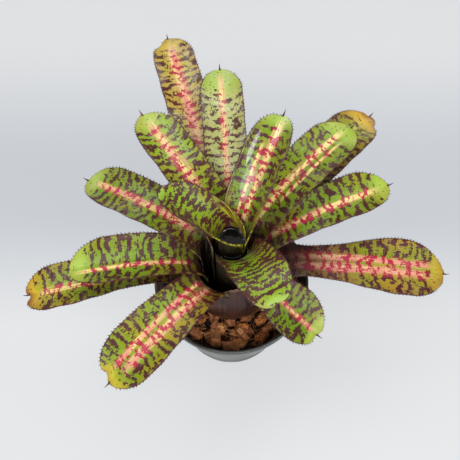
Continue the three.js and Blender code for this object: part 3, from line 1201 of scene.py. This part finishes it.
@dataclass
class Thorns:
    """The teeth along a leaf's edges and the point at its tip, in millimetres."""

    pitch: float = 3.0
    length: float = 1.7
    radius: float = 0.52
    tip_length: float = 5.6
    tip_radius: float = 0.95
    tip_curl: float = 2.0
    sunk: float = 0.35
    first: float = 0.1
    span: float = 0.895
    checks: int = 700
    seed: int = 1

    def spike(self, bm: bmesh.types.BMesh, root: Vector, aim: Vector, size: tuple[float, float]) -> None:
        """Adds one four-sided tooth.

        Args:
            bm: The mesh that takes it.
            root: The middle of its foot, in metres.
            aim: Where it points.
            size: Its length and foot radius in millimetres.
        """
        length, radius = size
        turn = aim.to_track_quat("Z", "X").to_matrix().to_4x4()
        place = Matrix.Translation(root + aim * length * self.sunk * MM) @ turn
        bmesh.ops.create_cone(
            bm,
            cap_ends=True,
            segments=4,
            radius1=radius * MM,
            radius2=radius * 0.08 * MM,
            depth=length * MM,
            matrix=place,
        )

    def mucro(self, bm: bmesh.types.BMesh, leaf: LeafShape) -> None:
        """Adds the curved point at a leaf's tip.

        Args:
            bm: The mesh that takes it.
            leaf: The leaf.
        """
        root = leaf.point(1.0, 0.0, LEAF_THICKNESS / 2)
        aim = (root - leaf.point(0.97, 0.0, LEAF_THICKNESS / 2)).normalized()
        lift = (leaf.point(0.97, 0.0, 0.0) - leaf.point(0.97, 0.0, 1.0)).normalized()
        point = bmesh.new()
        bmesh.ops.create_cone(
            point,
            cap_ends=True,
            segments=8,
            radius1=self.tip_radius * MM,
            radius2=self.tip_radius * 0.1 * MM,
            depth=self.tip_length * MM,
        )
        upright = [e for e in point.edges if abs(e.verts[0].co.z - e.verts[1].co.z) > 1e-5]
        bmesh.ops.subdivide_edges(point, edges=upright, cuts=5)
        turn = aim.to_track_quat("Z", "X").to_matrix()
        for vert in point.verts:
            climbed = vert.co.z / (self.tip_length * MM) + 0.5
            bent = turn @ vert.co + aim * self.tip_length * self.sunk * MM
            vert.co = root + bent + lift * self.tip_curl * MM * climbed * climbed
        own = bpy.data.meshes.new("point")
        point.to_mesh(own)
        point.free()
        bm.from_mesh(own)
        bpy.data.meshes.remove(own)

    def build(self, leaf: LeafShape, name: str, material: bpy.types.Material) -> bpy.types.Object:
        """The teeth and point of one leaf as one piece.

        Args:
            leaf: The leaf's shape.
            name: The piece's name.
            material: Their finish.

        Returns:
            The piece.
        """
        bm = bmesh.new()
        draw = random.Random(self.seed + round(leaf.azimuth))
        middle = LEAF_THICKNESS / 2
        for side in (-1.0, 1.0):
            last = leaf.point(self.first, side, middle)
            gone = 0.0
            for step in range(1, self.checks):
                share = self.first + self.span * step / self.checks
                here = leaf.point(share, side, middle)
                gone += (here - last).length
                forward = (here - last).normalized()
                last = here
                if gone < self.pitch * MM * draw.uniform(0.8, 1.15):
                    continue
                gone = 0.0
                out = (here - leaf.point(share, side * 0.85, middle)).normalized()
                aim = (out + forward * draw.uniform(0.35, 0.75)).normalized()
                grown = draw.uniform(0.75, 1.15)
                self.spike(bm, here, aim, (self.length * grown, self.radius * grown))
        self.mucro(bm, leaf)
        bmesh.ops.recalc_face_normals(bm, faces=bm.faces)
        return finish_piece(bm, name, [material])


@dataclass
class Rosette:
    """All the leaves, from the youngest in the middle to the oldest outside."""

    leaves: list[tuple[LeafShape, LeafFinish]]
    thorns: Thorns = field(default_factory=Thorns)

    def build(self) -> None:
        """Makes every leaf, with its teeth."""
        horn = ThornFinish().build("leaf_horn")
        for layer, (shape, skin) in enumerate(self.leaves):
            name = f"leaf_{layer + 1:02d}"
            upper = skin.upper(name + "_upper")
            lower = skin.lower(name + "_under")
            blade = finish_piece(shape.mesh(), name + "_blade", [upper, lower], (name,))
            thicken(blade, LEAF_THICKNESS * MM)
            self.thorns.build(shape, name + "_teeth", horn)


@dataclass
class DrySheaths:
    """The dead leaf bases outside the rosette."""

    sheaths: list[LeafShape]

    def build(self) -> None:
        """Makes each sheath as a torn, ribbed sheet."""
        finish = DryLeafFinish().build("dry_leaf_tissue")
        for number, shape in enumerate(self.sheaths, start=1):
            node = f"dry_sheath_{number:02d}"
            piece = finish_piece(shape.mesh(), node + "_tissue", [finish, finish], (node,))
            thicken(piece, LEAF_THICKNESS * MM)


# ------------------------------------------------------------------ pot


@dataclass
class Pot:
    """A thin moulded nursery pot with drain slots round its foot.

    Millimetres, but the rounding of the slots in metres.
    """

    rim_radius: float = 65.0
    base_radius: float = 44.5
    height: float = 104.0
    wall: float = 1.4
    floor: float = 2.0
    lip_height: float = 6.0
    lip_overhang: float = 2.2
    slots: int = 8
    slot_size: tuple[float, float, float] = (12.0, 8.0, 10.0)
    slot_depth: float = 6.0
    slot_round: float = 0.0015
    steps: int = 160

    def inside(self, height: float) -> float:
        """The inside radius of the tapered wall at a height."""
        lip_bottom = self.height - self.lip_height
        flare = (self.rim_radius - self.lip_overhang - self.base_radius) / lip_bottom
        return self.base_radius - self.wall + flare * height

    def profile(self) -> list[tuple[float, float]]:
        """The wall's section: up the outside, over the lip and down the inside."""
        foot, top = self.base_radius, self.height
        lip = top - self.lip_height
        body = self.rim_radius - self.lip_overhang
        slope = (body - foot) / lip
        outer = [
            (0.0, 1.0),
            (foot - 9.0, 1.0),
            (foot - 8.2, 0.0),
            (foot - 1.2, 0.0),
            (foot - 0.3, 0.3),
            (foot + 0.2, 1.2),
            (foot + slope * 12, 12.0),
            (foot + slope * 13 + 0.35, 12.6),
            (foot + slope * 14 + 0.35, 14.4),
            (foot + slope * 15, 15.0),
            (foot + slope * 50, 50.0),
            (foot + slope * 86, 86.0),
            (foot + slope * 87 + 0.4, 86.6),
            (body + 0.2, lip - 0.9),
            (body + 0.9, lip - 0.2),
            (self.rim_radius - 0.5, lip),
            (self.rim_radius - 0.05, lip + 0.5),
            (self.rim_radius, lip + 3.0),
            (self.rim_radius, top - 0.9),
            (self.rim_radius - 0.3, top - 0.25),
            (self.rim_radius - 1.0, top),
        ]
        inner = [
            (self.inside(top) + 0.6, top),
            (self.inside(top) + 0.1, top - 0.3),
            (self.inside(top), top - 1.0),
            (self.inside(93.0), 93.0),
            (self.inside(92.0) - 0.5, 92.2),
            (self.inside(91.0) - 0.5, 91.0),
            (self.inside(60.0), 60.0),
            (self.inside(self.floor + 2), self.floor + 2),
            (self.inside(self.floor) - 1.2, self.floor),
            (0.0, self.floor),
        ]
        return outer + inner

    def cut_slots(self, pot: bpy.types.Object) -> None:
        """Cuts the drain slots through the foot of the wall.

        Args:
            pot: The pot, whose mesh is changed.
        """
        bm = bmesh.new()
        for slot in range(self.slots):
            bearing = math.radians(270.0) + slot * 2 * math.pi / self.slots
            middle = Vector((self.base_radius - self.slot_depth + self.slot_size[0] / 2, 0.0, 0.0)) * MM
            block = sized(Vector(self.slot_size))
            place = Matrix.Rotation(bearing, 4, "Z") @ Matrix.Translation(middle) @ block
            bmesh.ops.create_cube(bm, size=1.0, matrix=place)
        level = [e for e in bm.edges if abs(e.verts[0].co.z - e.verts[1].co.z) < 1e-6]
        high = [e for e in level if e.verts[0].co.z > 0 and e.calc_length() > 0.01]
        bmesh.ops.bevel(
            bm, geom=high, offset=self.slot_round, segments=3, profile=0.5, affect="EDGES", material=-1
        )
        cutter = solid(bm, "slot_cutter")
        cut = pot.modifiers.new("slots", "BOOLEAN")
        cut.operation = "DIFFERENCE"
        cut.solver = "EXACT"
        cut.object = cutter
        graph = bpy.context.evaluated_depsgraph_get()
        whole = bpy.data.meshes.new_from_object(pot.evaluated_get(graph))
        pot.modifiers.clear()
        pot.data = whole
        bpy.data.objects.remove(cutter)

    def build(self) -> None:
        """Turns the wall, cuts the slots and dresses it."""
        plastic = PotPlastic().build("pot_plastic")
        wall = turned(self.profile(), self.steps)
        pot = finish_piece(wall, "pot_shell", [plastic], ("pot",))
        self.cut_slots(pot)
        pot.modifiers.new("edges", "EDGE_SPLIT").split_angle = math.radians(50.0)


# ------------------------------------------------------------------ husk


@dataclass
class Husk:
    """The potting mix: a packed bed with chips and loose fibre on top.

    Millimetres, but the chips' chamfer and longest edge in metres.
    """

    pot: Pot
    top: float = 83.0
    nest_radius: float = 26.0
    lump: float = 2.4
    chips: int = 30
    crumbs: int = 240
    fibres: int = 260
    chamfer: float = 0.0004
    longest_edge: float = 0.0014
    seed: int = 7

    def bed(self) -> None:
        """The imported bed, lumpy on top."""
        wall = self.pot.inside(self.top) - SEAT_GAP
        low = self.pot.floor + SEAT_GAP
        foot = self.pot.inside(low) - SEAT_GAP
        rings = 64
        section = [(wall * i / rings, self.top) for i in range(rings + 1)]
        section += [(lerp(wall, foot, i / 8), lerp(self.top, low, i / 8)) for i in range(1, 9)]
        section.append((0.0, low))
        bm = turned(section, 180)
        for vert in bm.verts:
            if vert.co.z > (self.top - 0.1) * MM:
                rough = noise.turbulence(vert.co * 130.0, 4, False)
                blocky = noise.cell(vert.co * 95.0)
                vert.co.z += (rough * 0.9 + blocky * 0.25 - 0.6) * self.lump * MM
        # Painted shade: the bed's browns are far darker than the chips' so that the gaps between the chips
        # read dark.
        finish = HuskFinish("150b07", "47281a", "7a4c2a", roughness=0.8)
        finish_piece(bm, "husk_bed", [finish.build("packed_husk")], ("growing_medium",))

    def roughen(self, bm: bmesh.types.BMesh, depth: float, scale: float) -> None:
        """Pushes a chip's skin in along its normals.

        Args:
            bm: The chip.
            depth: How deep, in millimetres.
            scale: How fine, per metre.
        """
        bm.normal_update()
        moves = [(v, v.normal * noise.turbulence(v.co * scale, 3, False) * depth * MM) for v in bm.verts]
        for vert, move in moves:
            vert.co -= move

    def grain(self, bm: bmesh.types.BMesh, bearing: float, shift: float) -> None:
        """Gives a chip its own fibre frame.

        Args:
            bm: The chip.
            bearing: The direction of its fibres.
            shift: Sets its pattern apart from the other chips'.
        """
        layer = bm.verts.layers.float_vector.new(FIBRE_LAYER)
        turn = Matrix.Rotation(-bearing, 3, "Z") @ Matrix.Rotation(0.25, 3, "X")
        for vert in bm.verts:
            vert[layer] = turn @ vert.co + Vector((shift, shift * 0.7, 0.0))

    def chip_pieces(self) -> None:
        """Each chip from its own solid, chamfered, split and roughened."""
        draw = random.Random(self.seed)
        tones = [
            HuskFinish("6e3a1e", "d4843e", "efc087", FIBRE_LAYER),
            HuskFinish("5a2d18", "c06c2b", "de9f62", FIBRE_LAYER),
            HuskFinish("7a4526", "e0964d", "f6cf9c", FIBRE_LAYER),
        ]
        names = [f"husk_chip_tone_{i}" for i in range(1, len(tones) + 1)]
        finishes = [tone.build(name) for tone, name in zip(tones, names)]
        for number in range(1, self.chips + 1):
            node = f"husk_chip_{number:02d}"
            bm = bmesh.new()
            bm.from_mesh(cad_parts[node].data)
            bmesh.ops.remove_doubles(bm, verts=bm.verts, dist=1e-5)
            for layer in list(bm.loops.layers.uv.values()):
                bm.loops.layers.uv.remove(layer)
            bmesh.ops.dissolve_limit(bm, angle_limit=0.12, verts=bm.verts, edges=bm.edges)
            edges = list(bm.edges)
            bmesh.ops.bevel(
                bm, geom=edges, offset=self.chamfer, segments=1, profile=0.5, affect="EDGES", material=-1
            )
            bmesh.ops.triangulate(bm, faces=bm.faces)
            for _ in range(3):
                long_edges = [e for e in bm.edges if e.calc_length() > self.longest_edge]
                bmesh.ops.subdivide_edges(bm, edges=long_edges, cuts=1, use_grid_fill=True)
                bmesh.ops.triangulate(bm, faces=bm.faces)
            self.roughen(bm, 0.75, 520.0)
            low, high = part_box(node)
            middle = (low + high) / 2
            bearing = math.atan2(middle.y, middle.x) + math.pi / 2 + draw.uniform(-0.6, 0.6)
            self.grain(bm, bearing, draw.uniform(0.0, 1.0))
            finish_piece(bm, node + "_chunk", [draw.choice(finishes)], (node,), rounded=False)

    def crumb_piece(self) -> None:
        """Small broken bits between the chips, as one piece."""
        draw = random.Random(self.seed + 1)
        bm = bmesh.new()
        layer = bm.verts.layers.float_vector.new(FIBRE_LAYER)
        wall = self.pot.inside(self.top) - 3.0
        for _ in range(self.crumbs):
            radius = math.sqrt(draw.uniform(self.nest_radius**2, wall**2))
            bearing = draw.uniform(0.0, 2 * math.pi)
            grown = draw.choice((0.6, 1.0, 1.0, 1.5, 2.1))
            sides = ((3.0, 6.0), (2.0, 4.0), (1.4, 3.0))
            size = Vector([draw.uniform(*side) for side in sides]) * grown
            turn = Matrix.Rotation(draw.uniform(0, math.pi), 4, "Z")
            turn = turn @ Matrix.Rotation(draw.uniform(-0.6, 0.6), 4, "Y")
            spot = polar(radius, bearing, self.top + draw.uniform(0.3, 6.0) + size.z / 2)
            place = Matrix.Translation(spot * MM) @ turn @ sized(size)
            made = bmesh.ops.create_cube(bm, size=1.0, matrix=place)["verts"]
            shift = Vector((draw.uniform(0, 1), draw.uniform(0, 1), 0.0))
            for vert in made:
                vert.co += Vector([draw.uniform(-0.22, 0.22) * size.y * MM for _ in range(3)])
                vert[layer] = (turn.to_3x3().transposed() @ vert.co) + shift
        finish = HuskFinish("5a2f19", "b3703f", "dba670", FIBRE_LAYER)
        finish_piece(bm, "husk_crumbs", [finish.build("husk_crumb")], rounded=False)

    def fibre_piece(self) -> None:
        """Loose coir fibres that lie over the bed, as one piece."""
        draw = random.Random(self.seed + 2)
        bm = bmesh.new()
        wall = self.pot.inside(self.top) - 4.0
        for _ in range(self.fibres):
            radius = math.sqrt(draw.uniform(self.nest_radius**2, wall**2))
            bearing = draw.uniform(0.0, 2 * math.pi)
            heading = draw.uniform(0.0, 2 * math.pi)
            spot = polar(radius, bearing, self.top + draw.uniform(1.0, 8.5)) * MM
            aim = Vector((math.cos(heading), math.sin(heading), draw.uniform(-0.1, 0.25))).normalized()
            thick = draw.uniform(0.12, 0.26) * MM
            turn = aim.to_track_quat("Z", "X").to_matrix().to_4x4()
            made = bmesh.ops.create_circle(
                bm, cap_ends=False, segments=4, radius=thick, matrix=Matrix.Translation(spot) @ turn
            )
            edges = list({e for v in made["verts"] for e in v.link_edges})
            curl = draw.uniform(-0.5, 0.5)
            for _ in range(6):
                grown = bmesh.ops.extrude_edge_only(bm, edges=edges)["geom"]
                verts = [g for g in grown if isinstance(g, bmesh.types.BMVert)]
                edges = [g for g in grown if isinstance(g, bmesh.types.BMEdge)]
                bmesh.ops.translate(bm, verts=verts, vec=aim * draw.uniform(1.3, 2.6) * MM)
                aim.rotate(Matrix.Rotation(curl * draw.uniform(0.3, 1.0), 3, "Z"))
                aim.z -= 0.06
                aim.normalize()
        bmesh.ops.holes_fill(bm, edges=bm.edges, sides=4)
        bmesh.ops.recalc_face_normals(bm, faces=bm.faces)
        finish = HuskFinish("7a4a28", "c88d58", "efc48e", roughness=0.6)
        finish_piece(bm, "husk_fibres", [finish.build("coir_strand")])

    def build(self) -> None:
        """Makes the bed, the chips, the crumbs and the fibres."""
        self.bed()
        self.chip_pieces()
        self.crumb_piece()
        self.fibre_piece()


# ------------------------------------------------------------------ water and stem


@dataclass
class TankWater:
    """The water in the rosette's cup and in the gap behind its first outer leaf. Millimetres."""

    level: float = 177.0
    bottom: float = 108.0
    radius: float = 9.4
    bulge: float = 2.2
    bulge_bearing: float = 343.0
    axil_level: float = 168.0
    axil_radii: tuple[float, float] = (10.4, 15.0)
    axil_bearings: tuple[float, float] = (235.0, 345.0)
    axil_depth: float = 3.0

    def mark_rim(self, piece: bpy.types.Object, tilt: float = 0.96) -> None:
        """Gives the sloping rim of a pool the second finish.

        Args:
            piece: The pool.
            tilt: The upward part of a face's normal below which it counts as sloping.
        """
        for face in piece.data.polygons:
            if 0.1 < face.normal.z < tilt:
                face.material_index = 1

    def cup(self, finishes: list[bpy.types.Material]) -> None:
        """The central pool: its edge climbs the wall a little.

        Args:
            finishes: The still water's and the rim's.
        """
        section = [(self.radius * i / 14, self.level) for i in range(13)]
        section += [
            (self.radius - 0.9, self.level + 0.1),
            (self.radius - 0.5, self.level + 0.36),
            (self.radius, self.level + 1.1),
            (self.radius, self.level - 8.0),
            (self.radius - 1.0, self.bottom + 20.0),
            (0.0, self.bottom),
        ]
        bm = turned(section, 96)
        for vert in bm.verts:
            bearing = math.degrees(math.atan2(vert.co.y, vert.co.x))
            apart = abs((bearing - self.bulge_bearing + 180.0) % 360.0 - 180.0)
            out = Vector((vert.co.x, vert.co.y, 0.0))
            share = out.length / (self.radius * MM)
            swell = (1 - smooth(apart, 8.0, 20.0)) * share * share
            if out.length > 0:
                vert.co += out.normalized() * self.bulge * swell * MM
        self.mark_rim(finish_piece(bm, "tank_water_pool", finishes, ("tank_water",)))

    def axil(self, finishes: list[bpy.types.Material]) -> None:
        """A crescent of water held between the first two sheaths.

        Args:
            finishes: The still water's and the rim's.
        """
        bm = bmesh.new()
        bmesh.ops.create_grid(bm, x_segments=10, y_segments=48, size=0.5)
        for vert in bm.verts:
            bearing = math.radians(lerp(*self.axil_bearings, vert.co.y + 0.5))
            taper = math.sin((vert.co.y + 0.5) * math.pi) ** 0.5
            inner, outer = self.axil_radii
            radius = lerp(inner, lerp(inner + 0.3, outer, taper), vert.co.x + 0.5)
            sag = 0.6 * (2 * abs(vert.co.x)) ** 3
            vert.co = polar(radius, bearing, self.axil_level + sag) * MM
        bm.normal_update()
        if sum(face.normal.z for face in bm.faces) < 0:
            bmesh.ops.reverse_faces(bm, faces=bm.faces)
        piece = finish_piece(bm, "axil_water", finishes)
        self.mark_rim(piece)
        thicken(piece, self.axil_depth * MM, under=0)

    def build(self) -> None:
        """Makes both pools."""
        still = WaterFinish().build("tank_water_surface")
        rim = WaterFinish(gloss=0.6, coat=0.35).build("tank_water_rim")
        self.cup([still, rim])
        self.axil([still, rim])


def dress_stem() -> None:
    """Gives the stem and roots their bark."""
    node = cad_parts["stem_and_roots"]
    node.data.materials.clear()
    node.data.materials.append(StemFinish().build("stem_bark"))
    LOG.info("stem_and_roots: dressed")


# ------------------------------------------------------------------ studio


@dataclass(frozen=True)
class SoftBox:
    """A soft light: its place, the point it faces and its size in metres, and its power in watts."""

    name: str
    place: tuple[float, float, float]
    aim: tuple[float, float, float]
    size: tuple[float, float]
    power: float

    def hang(self) -> None:
        """Hangs the light."""
        lamp = bpy.data.lights.new(self.name, "AREA")
        lamp.shape = "RECTANGLE"
        lamp.size, lamp.size_y = self.size
        lamp.energy = self.power
        facing = Vector(self.aim) - Vector(self.place)
        holder = stand(self.name, lamp)
        holder.location = self.place
        holder.rotation_euler = facing.to_track_quat("-Z", "Y").to_euler()


@dataclass
class Studio:
    """The pale floor, the soft lights, the surroundings and the camera."""

    floor_half: float = 4.0
    floor_drop: float = 0.0004
    # The floor's own glow: painted light that keeps shadows on it faint.
    floor_painted_glow: float = 3.7
    sky: str = "f4f4f4"
    sky_strength: float = 0.36
    camera_place: tuple[float, float, float] = (-0.0012, -0.1965, 0.5726)
    camera_pitch: float = 27.32
    lens: float = 46.96
    sensor: float = 36.0
    nearest: float = 0.01
    lights: tuple[SoftBox, ...] = (
        SoftBox("key", (-0.55, 0.1, 1.3), (0.0, 0.0, 0.15), (0.5, 0.5), 4.5),
        SoftBox("top", (0.0, 0.55, 1.5), (0.0, 0.0, 0.1), (1.4, 0.8), 11.0),
        SoftBox("front", (0.0, -0.9, 0.85), (0.0, 0.0, 0.1), (0.9, 0.5), 7.5),
        SoftBox("window", (0.67, -0.53, 0.72), (0.013, 0.048, 0.22), (0.36, 0.3), 4.0),
    )

    def floor(self) -> None:
        """A wide pale sheet under the pot, with a painted shade band behind it; it glows, painted light
        that keeps the shadows on it faint.
        """
        bm = bmesh.new()
        bmesh.ops.create_grid(bm, x_segments=8, y_segments=8, size=self.floor_half)
        sheet = solid(bm, "floor")
        sheet.location.z = -self.floor_drop
        material, graph, shader = new_material("floor_paper")
        place = graph.place()
        cloud = graph.noise(place, scale=1.3)
        back = graph.split(place)[1]
        # Painted shade: a darker band across the floor behind the pot, standing for light falling off.
        painted_shade_band = graph.rise(back, -0.02, 0.13) * graph.fall(back, 0.17, 0.38)
        body = graph.lay(graph.mix(cloud, "6a6b6c", "6d6e6f"), (painted_shade_band, "5f6164"))
        # Painted light: the floor glows so that the shadows cast on it stay faint.
        graph.feed(shader, {"Emission Color": body, "Emission Strength": self.floor_painted_glow})
        dress(graph, shader, body, cloud * 0.1 + 0.55, cloud, 0.0001)
        sheet.data.materials.append(material)

    def surroundings(self) -> None:
        """An even, pale sky."""
        world = bpy.data.worlds.new("studio")
        world.use_nodes = True
        sky = world.node_tree.nodes["Background"]
        sky.inputs["Color"].default_value = paint(self.sky)
        sky.inputs["Strength"].default_value = self.sky_strength
        bpy.context.scene.world = world

    def camera(self) -> None:
        """The camera, in front of the plant and above it."""
        eye = bpy.data.cameras.new("camera")
        eye.lens = self.lens
        eye.sensor_width = self.sensor
        eye.clip_start = self.nearest
        holder = stand("camera", eye)
        holder.location = self.camera_place
        holder.rotation_euler = (math.radians(self.camera_pitch), 0.0, 0.0)
        bpy.context.scene.camera = holder

    def build(self) -> None:
        """Sets the floor, the lights, the surroundings and the camera."""
        self.floor()
        for light in self.lights:
            light.hang()
        self.surroundings()
        self.camera()
        bpy.context.scene.view_settings.view_transform = "Standard"


# ------------------------------------------------------------------ the plant


def rosette_leaves() -> list[tuple[LeafShape, LeafFinish]]:
    """Every leaf's shape and skin, from the youngest to the oldest."""
    shapes = [
        LeafShape(
            azimuth=163, throat=178, lift=22, reach=52, rise=220, dip=-20, base=42, width=34, fold=55,
            layer=0, lap=36.0,
        ),
        LeafShape(
            azimuth=63, throat=170, lift=20, reach=81, rise=231, dip=-15, base=36, width=37, fold=62,
            layer=1, notches=(Notch(0.15, 1.2, 0.16),), lap=20.0,
        ),
        LeafShape(
            azimuth=297, throat=160, lift=28, reach=66, rise=196, dip=42, base=40, width=40, fold=30,
            layer=2, notches=(Notch(0.05, 1.8, 0.2),), taper=0.08, slim=0.0, waist=0.04,
        ),
        LeafShape(
            azimuth=127, throat=165, lift=34, reach=112, rise=209, dip=-5, base=40, width=37, fold=42,
            layer=3,
        ),
        LeafShape(
            azimuth=94, throat=160, lift=26, reach=134, rise=210, dip=0, base=38, width=36, fold=45,
            layer=4,
        ),
        LeafShape(
            azimuth=44, throat=154, lift=30, reach=130, rise=192, dip=10, base=36, width=40, fold=35,
            layer=5,
        ),
        LeafShape(
            azimuth=21, throat=150, lift=18, reach=129, rise=178, dip=5, base=36, width=38, fold=35,
            layer=6, waist=0.12,
        ),
        LeafShape(
            azimuth=109, throat=150, lift=34, reach=184, rise=200, dip=5, base=36, width=38, fold=40,
            sweep=-7, layer=7, notches=(Notch(0.45, 3.6, 0.22),), ragged=0.8, slim=0.09,
        ),
        LeafShape(
            azimuth=152, throat=150, lift=20, reach=131, rise=161, dip=15, base=36, width=40, fold=38,
            layer=8,
        ),
        LeafShape(
            azimuth=185, throat=142, lift=20, reach=124, rise=156, dip=10, base=34, width=42, fold=42,
            sweep=4, layer=9,
        ),
        LeafShape(
            azimuth=46, throat=142, lift=26, reach=168, rise=168, dip=10, base=36, width=42, fold=30,
            layer=10, notches=(Notch(-0.55, 4.0, 0.16), Notch(0.1, 1.0, 0.1)), ragged=1.4,
        ),
        LeafShape(
            azimuth=230, throat=138, lift=20, reach=131, rise=148, dip=25, base=36, width=46, fold=34,
            sweep=-3, layer=11, notches=(Notch(-0.25, 3.4, 0.17),), ragged=0.7, taper=0.05, waist=0.12,
        ),
        LeafShape(
            azimuth=358, throat=136, lift=12, reach=171, rise=127, dip=15, base=34, width=52, fold=25,
            layer=12, notches=(Notch(-0.6, 1.5, 0.2),), ragged=1.0, taper=0.1, waist=0.36,
        ),
        LeafShape(
            azimuth=187, throat=130, lift=10, reach=165, rise=128, dip=15, base=32, width=40, fold=30,
            sweep=5, layer=13, notches=(Notch(0.1, 4.5, 0.2),), ragged=1.2, taper=0.05, waist=0.38,
        ),
        LeafShape(
            azimuth=322, throat=130, lift=12, reach=88, rise=114, dip=25, base=36, width=46, fold=25,
            layer=14, notches=(Notch(-0.1, 3.0, 0.2),), ragged=0.5, taper=0.08,
        ),
    ]
    skins = [
        LeafFinish(
            seed=11.0, age=Age.YOUNG, pitch=5.0, coverage=0.47, scurf=0.08, dark_base=0.02,
            plain_tip=0.96, green="527e0a", light_green="8aa51e", green_sheath=-0.12, hem=1.0,
        ),
        LeafFinish(
            seed=23.0, age=Age.YOUNG, pitch=6.5, coverage=0.42,
            stripes=(Stripe(-1.6, 2.4, end=1.0), Stripe(4.2, 1.2, end=0.8)), blush=0.45, scurf=0.2,
            dark_base=0.02, flush=0.2, green_sheath=-0.1, hem=0.8, gloss=0.7,
        ),
        LeafFinish(
            seed=31.0, age=Age.YOUNG, pitch=4.4, coverage=0.5, dark_base=0.04, plain_tip=0.92,
            green="507c0a", light_green="88a420",
        ),
        LeafFinish(
            seed=41.0, pitch=7.0, coverage=0.41, stripes=(Stripe(0.0, 3.1, start=0.05),), blush=0.6,
            scurf=0.25, dark_base=0.04, green="5a8410", light_green="97b02c",
        ),
        # Strong silvery scurf and pale greyish greens: partly the leaf's own bloom, partly a painted
        # sheen.
        LeafFinish(
            seed=53.0, age=Age.YOUNG, pitch=5.8, coverage=0.33, stripes=(Stripe(0.0, 2.0, end=1.0),),
            blush=0.6, scurf=0.7, dark_base=0.06, plain_tip=0.84, green="8c9a48", light_green="c3c584",
            flush=0.2,
        ),
        LeafFinish(
            seed=61.0, pitch=7.8, coverage=0.39,
            stripes=(Stripe(1.5, 2.3), Stripe(-4.8, 1.0, start=0.3, end=0.9)), blush=0.35, scurf=0.2,
            plain_tip=0.86, flush=0.25,
        ),
        LeafFinish(
            seed=71.0, pitch=7.0, stripes=(Stripe(-1.0, 2.4, start=0.05, end=0.96),), scurf=0.15,
            dark_base=0.16, flush=0.25,
        ),
        # Strong silvery scurf: partly the leaf's own bloom, partly a painted sheen.
        LeafFinish(
            seed=83.0, age=Age.OLD, coverage=0.39, stripes=(Stripe(0.0, 3.2, end=1.0),), blush=0.7,
            scurf=0.5, plain_tip=0.94, green="938729", light_green="ccba62", flush=0.6,
        ),
        LeafFinish(
            seed=97.0, coverage=0.41, stripes=(Stripe(0.0, 2.5),), blush=0.66, scurf=0.25,
            dark_base=0.06, flush=0.2,
        ),
        LeafFinish(
            seed=101.0, coverage=0.42, stripes=(Stripe(5.0, 1.5, end=0.98),), dark_base=0.08,
            plain_tip=0.86,
        ),
        LeafFinish(
            seed=113.0, age=Age.OLDEST, pitch=7.8, coverage=0.42, stripes=(Stripe(0.0, 1.6, end=0.9),),
            blush=0.3, scurf=0.3, flush=0.55,
        ),
        LeafFinish(
            seed=127.0, age=Age.OLD, pitch=6.8, coverage=0.39,
            stripes=(Stripe(-4.4, 1.8, start=0.03), Stripe(3.2, 2.9, start=0.03, end=0.93)),
            blush=0.66, scurf=0.12, dark_base=0.06, plain_tip=0.93, flush=0.35,
        ),
        LeafFinish(
            seed=131.0, age=Age.OLD, pitch=10.0,
            stripes=(Stripe(5.0, 2.3, start=0.03), Stripe(-3.2, 3.2, start=0.03, end=0.96)),
            blush=0.75, dark_base=0.28, plain_tip=0.94, green="5c7010", light_green="87921f",
            flush=0.5,
        ),
        LeafFinish(
            seed=149.0, age=Age.OLDEST, pitch=7.0, stripes=(Stripe(1.5, 2.1),), blush=0.3, scurf=0.15,
            plain_tip=0.93, flush=0.45,
        ),
        LeafFinish(
            seed=151.0, pitch=6.0, coverage=0.42, stripes=(Stripe(-0.5, 1.8),), blush=0.7, scurf=0.15,
            plain_tip=0.84, green="47700a", light_green="74921a", flush=0.25,
        ),
    ]
    return list(zip(shapes, skins))


def dry_sheaths() -> list[LeafShape]:
    """The dead sheaths' shapes, outside the oldest leaf."""
    return [
        LeafShape(276, 111, 8, 24, 138, -115, 58, 44, 12, layer=15, ragged=1.0, ruffle=0.3, columns=40),
        LeafShape(190, 112, 8, 45, 123, 10, 34, 17, 14, layer=16, ragged=2.0, ruffle=0.6),
    ]


def main() -> None:
    """Builds the plant from the pot up, then the studio."""
    logging.basicConfig(level=logging.INFO, format="%(name)s: %(message)s")
    pot = Pot()
    pot.build()
    Husk(pot).build()
    dress_stem()
    Rosette(rosette_leaves()).build()
    DrySheaths(dry_sheaths()).build()
    TankWater().build()
    Studio().build()


if __name__ == "__main__":
    main()
